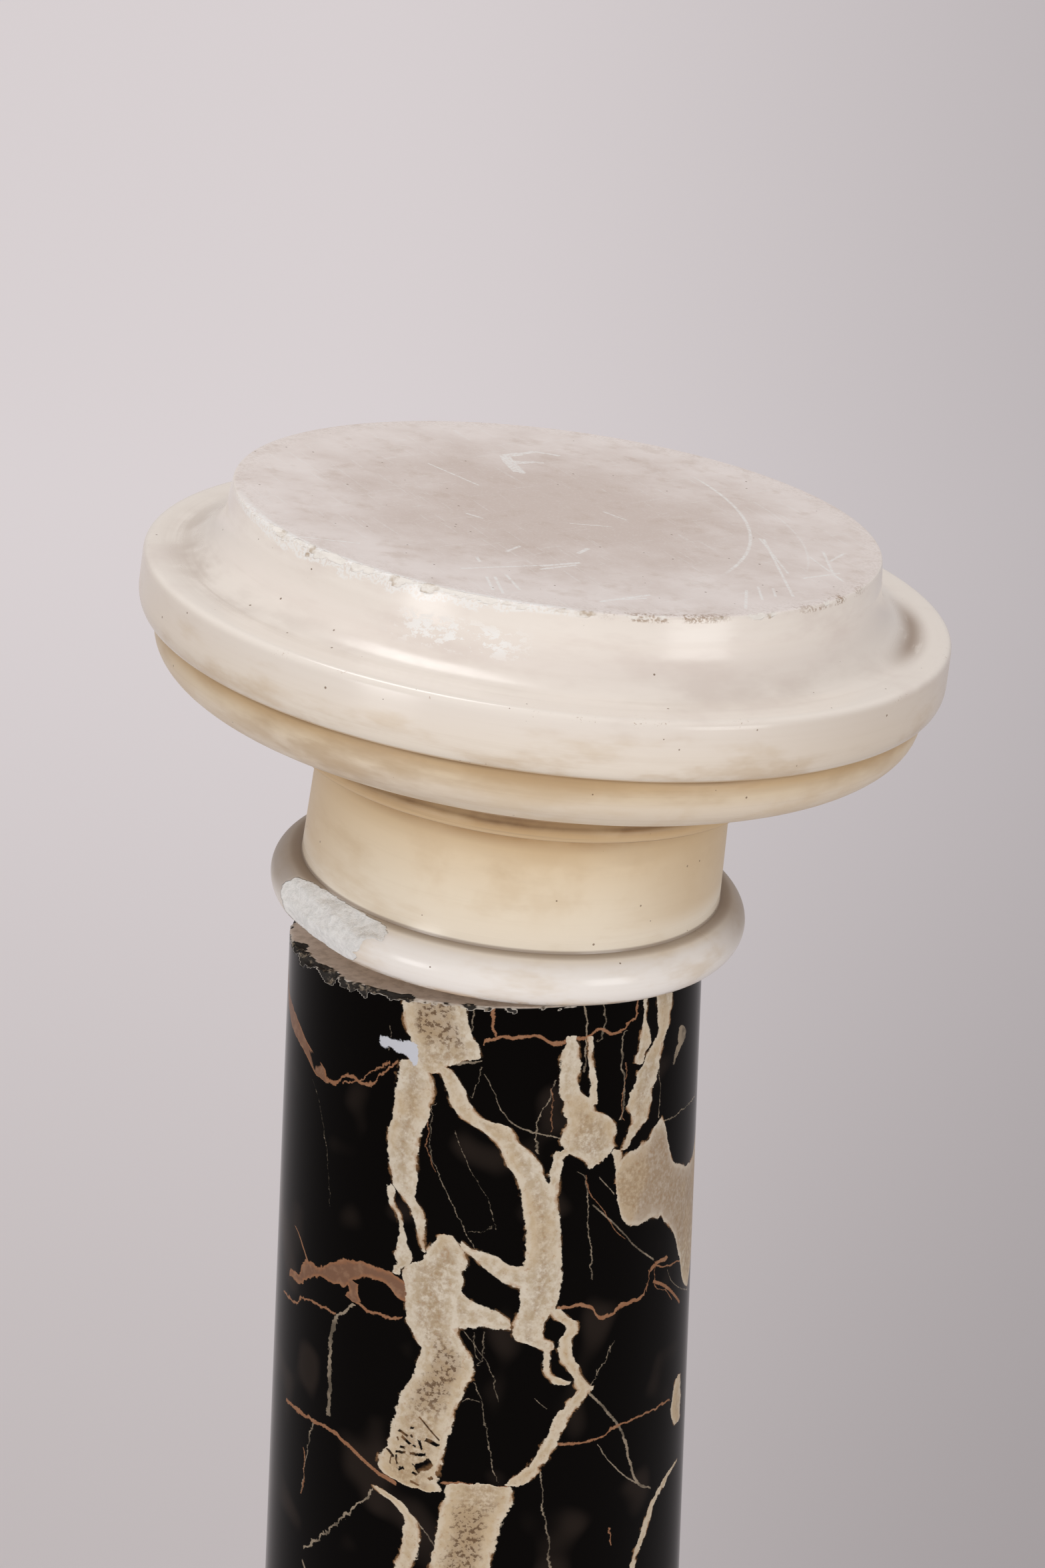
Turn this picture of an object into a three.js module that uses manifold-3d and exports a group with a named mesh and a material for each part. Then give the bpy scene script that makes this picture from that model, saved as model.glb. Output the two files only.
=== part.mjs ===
// A marble column of three turned pieces: a white base, a black veined shaft and
// a white capital that sits on the shaft with a lean to the front right.
// Millimetres, +Z up, -Y is the front. The origin is the centre of the underside.

import * as THREE from 'three';
import { mergeVertices } from 'three/addons/utils/BufferGeometryUtils.js';
import Module from 'manifold-3d';

// Turning: sides of every round piece, and the gap between pieces that touch.
const SIDES = 60;
const GAP = 0.3;

// Base, from the floor up: plinth, torus, fillet, cavetto and a narrow ring.
const PLINTH_RADIUS = 190;
const PLINTH_HEIGHT = 50;
const PLINTH_EASE = 3;
const FOOT_TORUS_RADIUS = 162;
const FOOT_TORUS_TUBE = 25;
const FOOT_FILLET_RADIUS = 152;
const FOOT_FILLET_HEIGHT = 6;
const FOOT_CAVETTO_RADIUS = 32;
const FOOT_RING_RADIUS = 116;
const FOOT_RING_HEIGHT = 8;
const BASE_TOP = PLINTH_HEIGHT + 2 * FOOT_TORUS_TUBE + FOOT_FILLET_HEIGHT
  + FOOT_CAVETTO_RADIUS + FOOT_RING_HEIGHT;

// Shaft, a plain tapered cylinder with a chipped upper edge.
const SHAFT_LENGTH = 770;
const SHAFT_TOP_RADIUS = 90;
const SHAFT_BOTTOM_RADIUS = 103.9;
const SHAFT_EASE = 1.2;
const SHAFT_TOP = BASE_TOP + SHAFT_LENGTH;

// Capital: heights are measured along its own leaning axis from the shaft's top.
const LEAN_RIGHT = THREE.MathUtils.degToRad(4.98);
const LEAN_FRONT = THREE.MathUtils.degToRad(3.7);
const CAPITAL_SHIFT = 2.66;
const CAPITAL_LIFT = 0.3;
const SEAT_RADIUS = 66;
const SEAT_DEPTH = 20;
const NECK_RING_RADIUS = 92.6;
const NECK_RING_TUBE = 10.8;
const NECK_RING_HEIGHT = 21.1;
const NECK_BOTTOM = [91.0, 32.0];
const NECK_TOP = [88.7, 85.4];
const FILLET_RADIUS = 102.6;
const FILLET_TOP = 91;
const QUIRK_RADIUS = 99.5;
const ECHINUS_FROM = [111, 103.4];
const ECHINUS_BELLY = [169.9, 109.6];
const ECHINUS_TO = [161.6, 135.2];
const FASCIA_FROM = [163.4, 136.2];
const FASCIA_BELLY = [170.9, 137.2];
const FASCIA_TO = [170.2, 147.5];
const FASCIA_RADIUS = 169.8;
const FASCIA_TOP = 162.9;
const FASCIA_EASE = 3.4;
const CAVETTO_FROM = 157;
const CAVETTO_RADIUS = 20;
const TOP_RADIUS = 135.6;
const TOP_HEIGHT = 192.7;

// Breaks: bearing from the front (positive to the right), slope of the broken face,
// and how deep it bites below the unbroken surface.
const RING_BREAKS = [
  { bearing: -64, slope: 38, depth: 4.6 },
  { bearing: -45, slope: 52, depth: 4.2 },
];
const SHAFT_BREAKS = [
  { bearing: -72, slope: 48, depth: 1.8 },
  { bearing: -50, slope: 56, depth: 2.6 },
  { bearing: -31, slope: 50, depth: 1.4 },
];
const BREAK_WIDTH = 100;
const BREAK_HEIGHT = 24;
const BREAK_REACH = 30;

const wasm = await Module();
wasm.setup();

/** Points along a circular arc, angles in degrees from the outward direction. */
function arc(centreRadius, centreHeight, radius, from, to, steps) {
  const points = [];
  for (let i = 0; i <= steps; i += 1) {
    const angle = THREE.MathUtils.degToRad(from + ((to - from) * i) / steps);
    points.push([centreRadius + radius * Math.cos(angle), centreHeight + radius * Math.sin(angle)]);
  }
  return points;
}

/** Points along a curve that leaves and arrives on the lines through its belly point. */
function swell(from, belly, to, steps) {
  const curve = new THREE.QuadraticBezierCurve(
    new THREE.Vector2(...from),
    new THREE.Vector2(...belly),
    new THREE.Vector2(...to),
  );
  return curve.getPoints(steps).map((point) => [point.x, point.y]);
}

/** A closed geometry with shared vertices and no collapsed triangles. */
function closed(geometry) {
  const bare = geometry.clone();
  bare.deleteAttribute('normal');
  bare.deleteAttribute('uv');
  const merged = mergeVertices(bare, 1e-4);
  const index = [];
  for (let i = 0; i < merged.index.count; i += 3) {
    const [a, b, c] = [0, 1, 2].map((k) => merged.index.getX(i + k));
    if (a !== b && b !== c && c !== a) {
      index.push(a, b, c);
    }
  }
  merged.setIndex(index);
  return merged;
}

/** A solid of revolution about +Z from [radius, height] points, lowest first. */
function turned(profile) {
  const points = profile.map(([radius, height]) => new THREE.Vector2(Math.max(radius, 0), height));
  const lathe = new THREE.LatheGeometry(points, SIDES);
  lathe.rotateX(Math.PI / 2);
  return closed(lathe);
}

/** The solid that a closed geometry bounds. */
function solid(geometry) {
  return new wasm.Manifold(new wasm.Mesh({
    numProp: 3,
    vertProperties: new Float32Array(geometry.attributes.position.array),
    triVerts: new Uint32Array(geometry.index.array),
  }));
}

/** The geometry of a solid's surface. */
function surface(body) {
  const mesh = body.getMesh();
  const geometry = new THREE.BufferGeometry();
  geometry.setAttribute('position', new THREE.BufferAttribute(new Float32Array(mesh.vertProperties), 3));
  geometry.setIndex(new THREE.BufferAttribute(new Uint32Array(mesh.triVerts), 1));
  geometry.computeVertexNormals();
  return geometry;
}

/**
 * The block that takes one break off a round edge. The edge is a ring of the given
 * radius and height, thickened by a tube radius (zero for a sharp edge).
 */
function breakBlock(radius, height, tube, { bearing, slope, depth }) {
  const turn = THREE.MathUtils.degToRad(bearing);
  const rise = THREE.MathUtils.degToRad(slope);
  const up = new THREE.Vector3(0, 0, 1);
  const away = new THREE.Vector3(Math.sin(turn), -Math.cos(turn), 0);
  const along = new THREE.Vector3().crossVectors(up, away);
  const outward = away.clone().multiplyScalar(Math.cos(rise)).addScaledVector(up, Math.sin(rise));
  const climb = new THREE.Vector3().crossVectors(outward, along);
  const centre = away.clone().multiplyScalar(radius).addScaledVector(up, height);
  centre.addScaledVector(outward, tube - depth + BREAK_REACH / 2);
  const block = new THREE.BoxGeometry(BREAK_WIDTH, BREAK_HEIGHT, BREAK_REACH);
  block.applyMatrix4(new THREE.Matrix4().makeBasis(along, climb, outward).setPosition(centre));
  return solid(closed(block));
}

/** A named mesh with its own finish. */
function piece(name, geometry, finish) {
  const mesh = new THREE.Mesh(geometry, new THREE.MeshStandardMaterial(finish));
  mesh.name = name;
  return mesh;
}

/** The base: one turned block, flat below and above. */
function makeBase() {
  const torusHeight = PLINTH_HEIGHT + FOOT_TORUS_TUBE;
  const filletFoot = PLINTH_HEIGHT + 2 * FOOT_TORUS_TUBE;
  const filletTop = filletFoot + FOOT_FILLET_HEIGHT;
  const cavettoFrom = FOOT_RING_RADIUS + 2 + FOOT_CAVETTO_RADIUS;
  const ringFoot = filletTop + FOOT_CAVETTO_RADIUS;
  return turned([
    [0, 0],
    [PLINTH_RADIUS - PLINTH_EASE, 0],
    [PLINTH_RADIUS, PLINTH_EASE],
    [PLINTH_RADIUS, PLINTH_HEIGHT - PLINTH_EASE],
    [PLINTH_RADIUS - PLINTH_EASE, PLINTH_HEIGHT],
    ...arc(FOOT_TORUS_RADIUS, torusHeight, FOOT_TORUS_TUBE, -90, 90, 10),
    [FOOT_FILLET_RADIUS, filletFoot],
    [FOOT_FILLET_RADIUS, filletTop],
    ...arc(cavettoFrom, ringFoot, FOOT_CAVETTO_RADIUS, 270, 180, 6),
    [FOOT_RING_RADIUS, ringFoot],
    [FOOT_RING_RADIUS, BASE_TOP],
    [0, BASE_TOP],
  ]);
}

/** The shaft: a tapered drum with small breaks on its upper edge. */
function makeShaft() {
  const drum = turned([
    [0, BASE_TOP + GAP],
    [SHAFT_BOTTOM_RADIUS - SHAFT_EASE, BASE_TOP + GAP],
    [SHAFT_BOTTOM_RADIUS, BASE_TOP + GAP + SHAFT_EASE],
    [SHAFT_TOP_RADIUS, SHAFT_TOP],
    [0, SHAFT_TOP],
  ]);
  let body = solid(drum);
  for (const spot of SHAFT_BREAKS) {
    body = body.subtract(breakBlock(SHAFT_TOP_RADIUS, SHAFT_TOP, 0, spot));
  }
  return surface(body);
}

/** The capital's turned profile, from the seat below its neck ring to its flat top. */
function capitalProfile() {
  const underside = NECK_RING_HEIGHT - NECK_RING_TUBE;
  return [
    [0, -SEAT_DEPTH],
    [SEAT_RADIUS, -SEAT_DEPTH],
    [SEAT_RADIUS, underside],
    ...arc(NECK_RING_RADIUS, NECK_RING_HEIGHT, NECK_RING_TUBE, -90, 90, 10),
    NECK_BOTTOM,
    NECK_TOP,
    [FILLET_RADIUS, NECK_TOP[1]],
    [FILLET_RADIUS, FILLET_TOP],
    [QUIRK_RADIUS, FILLET_TOP + 1.5],
    [QUIRK_RADIUS + 1, ECHINUS_FROM[1] - 3],
    ...swell(ECHINUS_FROM, ECHINUS_BELLY, ECHINUS_TO, 9),
    ...swell(FASCIA_FROM, FASCIA_BELLY, FASCIA_TO, 4),
    [FASCIA_RADIUS, FASCIA_TOP - FASCIA_EASE],
    [FASCIA_RADIUS - 0.3 * FASCIA_EASE, FASCIA_TOP - 0.3 * FASCIA_EASE],
    [FASCIA_RADIUS - FASCIA_EASE, FASCIA_TOP],
    ...arc(CAVETTO_FROM, FASCIA_TOP + CAVETTO_RADIUS, CAVETTO_RADIUS, 270, 180, 6),
    [TOP_RADIUS, TOP_HEIGHT],
    [0, TOP_HEIGHT],
  ];
}

/** The capital's place: its lean, and the shift of its axis on the shaft's top. */
function placeCapital(object) {
  object.position.set(CAPITAL_SHIFT, 0, SHAFT_TOP + CAPITAL_LIFT);
  object.rotation.set(LEAN_FRONT, LEAN_RIGHT, 0, 'YXZ');
  object.updateMatrixWorld(true);
}

/** The capital in its own frame, its seat cut level with the shaft's top. */
function makeCapital() {
  let body = solid(turned(capitalProfile()));
  for (const spot of RING_BREAKS) {
    body = body.subtract(breakBlock(NECK_RING_RADIUS, NECK_RING_HEIGHT, NECK_RING_TUBE, spot));
  }
  const place = new THREE.Object3D();
  placeCapital(place);
  const below = new THREE.BoxGeometry(4 * SEAT_RADIUS, 4 * SEAT_RADIUS, 4 * SEAT_DEPTH);
  below.translate(0, 0, SHAFT_TOP + GAP - 2 * SEAT_DEPTH);
  below.applyMatrix4(place.matrixWorld.clone().invert());
  return surface(body.subtract(solid(closed(below))));
}

const WHITE_MARBLE = { color: 0xe6ded0, roughness: 0.4, metalness: 0 };
const BLACK_MARBLE = { color: 0x1a1716, roughness: 0.18, metalness: 0 };

const column = new THREE.Group();
column.add(piece('base', makeBase(), WHITE_MARBLE));
column.add(piece('shaft', makeShaft(), BLACK_MARBLE));
const leaning = new THREE.Group();
placeCapital(leaning);
leaning.add(piece('capital', makeCapital(), WHITE_MARBLE));
column.add(leaning);

export default column;
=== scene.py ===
"""Marble column: finely turned stone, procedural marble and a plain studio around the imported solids."""

from __future__ import annotations

import logging
import math
from dataclasses import dataclass, field
from enum import Enum
from typing import Sequence, Union

import bmesh
import bpy
import numpy as np
from mathutils import Euler, Matrix, Vector, noise

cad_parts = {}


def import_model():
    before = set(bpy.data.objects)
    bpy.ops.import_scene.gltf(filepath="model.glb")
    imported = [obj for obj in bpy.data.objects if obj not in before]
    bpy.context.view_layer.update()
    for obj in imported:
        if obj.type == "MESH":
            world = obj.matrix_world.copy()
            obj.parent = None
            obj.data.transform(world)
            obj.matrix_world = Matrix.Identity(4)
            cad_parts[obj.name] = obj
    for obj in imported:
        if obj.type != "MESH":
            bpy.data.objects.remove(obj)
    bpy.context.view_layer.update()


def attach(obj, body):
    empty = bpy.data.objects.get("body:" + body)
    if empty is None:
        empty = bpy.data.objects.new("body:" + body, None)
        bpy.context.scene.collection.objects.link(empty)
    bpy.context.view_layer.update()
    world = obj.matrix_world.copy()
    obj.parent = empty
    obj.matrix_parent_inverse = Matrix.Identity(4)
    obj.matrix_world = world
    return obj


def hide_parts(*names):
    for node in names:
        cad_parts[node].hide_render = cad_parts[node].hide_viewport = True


LOG = logging.getLogger("marble_column")
MM = 0.001
SHAFT_TOP = 916.0
WEDGES = 20
WELD = 1e-3
HAIR = 1e-7

Socket = bpy.types.NodeSocket
Node = bpy.types.Node
Material = bpy.types.Material
Piece = bpy.types.Object
Feed = Union[Socket, float, Sequence[float]]
Colour = tuple[float, float, float, float]
Point = tuple[float, float]
Stop = tuple[float, float, float]
Stroke = tuple[float, float, float, float, float]
Zone = tuple[float, int, int, int]


def tone(red: int, green: int, blue: int) -> Colour:
    """A linear colour from the 0 to 255 numbers a picture shows.

    Args:
        red: Red as displayed.
        green: Green as displayed.
        blue: Blue as displayed.

    Returns:
        The linear colour with full alpha.
    """
    shown = [channel / 255.0 for channel in (red, green, blue)]
    linear = [c / 12.92 if c <= 0.04045 else ((c + 0.055) / 1.055) ** 2.4 for c in shown]
    return (linear[0], linear[1], linear[2], 1.0)


class Graph:
    """Short calls that add nodes to one tree and hand back their output sockets."""

    def __init__(self, tree: bpy.types.NodeTree) -> None:
        """Keeps the tree that the nodes go into."""
        self.tree = tree

    def feed(self, socket: Socket, value: Feed) -> None:
        """Links a socket to another, or sets its own value.

        Args:
            socket: The input to fill.
            value: An output socket, a number or a tuple.
        """
        if isinstance(value, Socket):
            self.tree.links.new(value, socket)
        else:
            socket.default_value = value

    def add(self, kind: str, feeds: dict[Union[int, str], Feed], **settings: object) -> Node:
        """Adds one node.

        Args:
            kind: Blender's name of the node type.
            feeds: Values or links for its inputs, by name or place.
            **settings: Properties of the node itself.

        Returns:
            The node.
        """
        node = self.tree.nodes.new(kind)
        for name, value in settings.items():
            setattr(node, name, value)
        for key, value in feeds.items():
            self.feed(node.inputs[key], value)
        return node

    def math(self, operation: str, *values: Feed) -> Socket:
        """One arithmetic step on up to three values."""
        return self.add("ShaderNodeMath", dict(enumerate(values)), operation=operation).outputs[0]

    def own(self) -> Socket:
        """Places in the object's own coordinates."""
        return self.add("ShaderNodeTexCoord", {}).outputs["Object"]

    def axes(self, place: Feed) -> Sequence[Socket]:
        """The three coordinates of a place."""
        return self.add("ShaderNodeSeparateXYZ", {0: place}).outputs

    def channels(self, colour: Feed) -> Sequence[Socket]:
        """The three channels of a colour."""
        return self.add("ShaderNodeSeparateColor", {0: colour}).outputs

    def span(self, x: Feed, y: Feed) -> Socket:
        """The length of a line with two coordinates."""
        return self.math("SQRT", self.math("MULTIPLY_ADD", x, x, self.math("MULTIPLY", y, y)))

    def bearing(self, x: Feed, y: Feed) -> Socket:
        """Degrees from the front, positive to the right."""
        return self.math("DEGREES", self.math("ARCTAN2", x, self.math("MULTIPLY", y, -1.0)))

    def apart(self, value: Feed, middle: Feed) -> Socket:
        """How far a value lies from a middle one, on either side."""
        return self.math("ABSOLUTE", self.math("SUBTRACT", value, middle))

    def beyond(self, value: Feed, limit: float, rate: float) -> Socket:
        """How far a value is past a limit, times a rate."""
        return self.math("MULTIPLY", self.math("MAXIMUM", self.math("SUBTRACT", value, limit), 0.0), rate)

    def without(self, mask: Feed) -> Socket:
        """The share that a mask leaves."""
        return self.math("SUBTRACT", 1.0, mask)

    def rise(self, value: Feed, low: float, high: float) -> Socket:
        """A soft step from 0 at low to 1 at high."""
        feeds = {"Value": value, "From Min": low, "From Max": high}
        return self.add("ShaderNodeMapRange", feeds, interpolation_type="SMOOTHSTEP").outputs[0]

    def between(self, value: Feed, low: float, high: float, soft: float) -> Socket:
        """1 between two limits, fading to 0 over a soft margin on each side.

        Args:
            value: What is tested.
            low: The lower limit.
            high: The upper limit.
            soft: Half the width of each margin.

        Returns:
            The mask.
        """
        up = self.rise(value, low - soft, low + soft)
        down = self.rise(value, high + soft, high - soft)
        return self.math("MULTIPLY", up, down)

    def chain(self, operation: str, values: Sequence[Feed]) -> Feed:
        """Takes several values together, two at a time.

        Args:
            operation: The arithmetic step.
            values: What it takes, in order.

        Returns:
            The result.
        """
        result = values[0]
        for value in values[1:]:
            result = self.math(operation, result, value)
        return result

    def times(self, *values: Feed) -> Feed:
        """The product of several values."""
        return self.chain("MULTIPLY", values)

    def most(self, *values: Feed) -> Feed:
        """The largest of several values."""
        return self.chain("MAXIMUM", values)

    def blend(self, factor: Feed, first: Feed, second: Feed, kind: str = "MIX") -> Socket:
        """A colour that goes from first to second with the factor, or is multiplied by it."""
        feeds = {0: factor, 6: first, 7: second}
        return self.add("ShaderNodeMix", feeds, data_type="RGBA", blend_type=kind).outputs[2]

    def coat(self, under: Feed, over: Feed, *shares: Feed) -> Socket:
        """One colour laid over another, as dense as the product of some shares."""
        return self.blend(self.times(*shares), under, over)

    def slide(self, factor: Feed, first: Feed, second: Feed) -> Socket:
        """A number that goes from first to second with the factor."""
        feeds = {0: factor, 2: first, 3: second}
        return self.add("ShaderNodeMix", feeds, data_type="FLOAT").outputs[0]

    def cloud(self, place: Feed, scale: float, detail: float = 3.0, rough: float = 0.5) -> Socket:
        """A fractal noise value about 0.5."""
        feeds = {"Vector": place, "Scale": scale, "Detail": detail, "Roughness": rough}
        return self.add("ShaderNodeTexNoise", feeds).outputs["Fac"]

    def stretched(self, place: Feed, size: Sequence[float], turn: float = 0.0) -> Socket:
        """Coordinates counted in lengths of their own along each axis of a turned frame."""
        feeds = {"Vector": place, "Rotation": (0.0, 0.0, turn), "Scale": tuple(size)}
        return self.add("ShaderNodeMapping", feeds, vector_type="TEXTURE").outputs[0]

    def ramp(self, value: Feed, zones: Sequence[Zone]) -> Socket:
        """A colour that follows a value through some zones.

        Args:
            value: What the colour follows.
            zones: Each zone's value and tone, lowest first.

        Returns:
            The colour socket.
        """
        low, high = float(zones[0][0]), float(zones[-1][0])
        feeds = {"Value": value, "From Min": low, "From Max": high}
        share = self.add("ShaderNodeMapRange", feeds).outputs[0]
        node = self.add("ShaderNodeValToRGB", {"Fac": share})
        elements = node.color_ramp.elements
        elements[0].color, elements[1].color = tone(*zones[0][1:]), tone(*zones[-1][1:])
        for at, *shown in zones[1:-1]:
            elements.new((at - low) / (high - low)).color = tone(*shown)
        return node.outputs["Color"]

    def curve(self, value: Feed, points: Sequence[Point], straight: bool) -> Socket:
        """A value that follows a drawn curve.

        Args:
            value: Where along the curve, from 0 to 1.
            points: Places and heights, in order.
            straight: Straight lines between the points, or smooth ones.

        Returns:
            The height socket.
        """
        node = self.add("ShaderNodeFloatCurve", {"Value": value})
        mapping = node.mapping
        mapping.use_clip = False
        mapping.extend = "HORIZONTAL"
        drawn = mapping.curves[0].points
        drawn[0].location = points[0]
        drawn[1].location = points[-1]
        for point in points[1:-1]:
            drawn.new(*point)
        for point in drawn:
            point.handle_type = "VECTOR" if straight else "AUTO"
        mapping.update()
        return node.outputs[0]

    def strokes(self, x: Feed, y: Feed, segments: Sequence[Stroke]) -> Socket:
        """How far outside the nearest of some straight strokes a place lies.

        Args:
            x: The place's first coordinate.
            y: Its second coordinate.
            segments: Both ends and half the width of each stroke.

        Returns:
            The distance socket, below zero inside a stroke.
        """
        nearest: Feed = 1e3
        for x0, y0, x1, y1, half in segments:
            reach = math.hypot(x1 - x0, y1 - y0) / 2
            ux, uy = (x1 - x0) / (2 * reach), (y1 - y0) / (2 * reach)
            mx, my = (x0 + x1) / 2, (y0 + y1) / 2
            along = self.math("MULTIPLY_ADD", x, ux, self.math("MULTIPLY_ADD", y, uy, -(mx * ux + my * uy)))
            across = self.math("MULTIPLY_ADD", x, -uy, self.math("MULTIPLY_ADD", y, ux, mx * uy - my * ux))
            past = self.math("SUBTRACT", self.math("ABSOLUTE", along), reach)
            aside = self.math("SUBTRACT", self.math("ABSOLUTE", across), half)
            nearest = self.math("MINIMUM", nearest, self.math("MAXIMUM", past, aside))
        return nearest

    def worn(self, name: str) -> Socket:
        """A mask that the mesh carries."""
        return self.add("ShaderNodeAttribute", {}, attribute_name=name).outputs["Fac"]

    def dress(self, shader: Node, colour: Feed, rough: Feed, relief: Feed, strength: float) -> None:
        """Feeds a shader what varies over the surface.

        Args:
            shader: The Principled shader.
            colour: Its base colour.
            rough: Its roughness.
            relief: A surface height in millimetres.
            strength: How strongly the height tilts the surface.
        """
        feeds = {"Height": relief, "Distance": MM, "Strength": strength}
        self.feed(shader.inputs["Base Color"], colour)
        self.feed(shader.inputs["Roughness"], rough)
        self.feed(shader.inputs["Normal"], self.add("ShaderNodeBump", feeds).outputs[0])


def new_group(name: str, inputs: Sequence[tuple[str, str]], outputs: Sequence[str]) -> tuple[Graph, Node, Node]:
    """Starts a shader node group.

    Args:
        name: The group's name.
        inputs: Pairs of socket name and socket type.
        outputs: Names of its value outputs.

    Returns:
        The graph to fill, its input node and its output node.
    """
    tree = bpy.data.node_groups.new(name, "ShaderNodeTree")
    for label, kind in inputs:
        tree.interface.new_socket(name=label, in_out="INPUT", socket_type=kind)
    for label in outputs:
        tree.interface.new_socket(name=label, in_out="OUTPUT", socket_type="NodeSocketFloat")
    source = tree.nodes.new("NodeGroupInput")
    sink = tree.nodes.new("NodeGroupOutput")
    return Graph(tree), source, sink


def new_material(name: str) -> tuple[Material, Graph, Node]:
    """Starts a material with one Principled shader.

    Args:
        name: The material's name.

    Returns:
        The material, its graph and its shader node.
    """
    material = bpy.data.materials.new(name)
    material.use_nodes = True
    shader = material.node_tree.nodes["Principled BSDF"]
    return material, Graph(material.node_tree), shader


class Tone(Enum):
    """What a vein in the black marble is made of."""

    CREAM = "Cream"
    RUST = "Rust"
    THREAD = "Thread"
    PLASTER = "Plaster"


class Run(Enum):
    """Which way a vein's stops are counted."""

    DOWN = "down the shaft"
    AROUND = "around the shaft"


@dataclass(frozen=True)
class Vein:
    """One vein on the shaft.

    Stops are (depth, bearing, half width) for a vein that runs down and
    (bearing, depth, half width) for one that runs around. Depth is in millimetres below
    the shaft's top, and bearing in degrees from the front, positive to the right.
    """

    colour: Tone
    run: Run
    stops: tuple[Stop, ...]


def thread(colour: Tone, run: Run, width: float, *path: Point) -> Vein:
    """A vein of even width.

    Args:
        colour: What it is made of.
        run: Which way the path is counted.
        width: Its whole width in millimetres.
        *path: Places along and across.

    Returns:
        The vein.
    """
    return Vein(colour, run, tuple((along, across, width / 2) for along, across in path))


CREAM, RUST, THREAD, PLASTER = Tone.CREAM, Tone.RUST, Tone.THREAD, Tone.PLASTER
DOWN, AROUND = Run.DOWN, Run.AROUND

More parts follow.
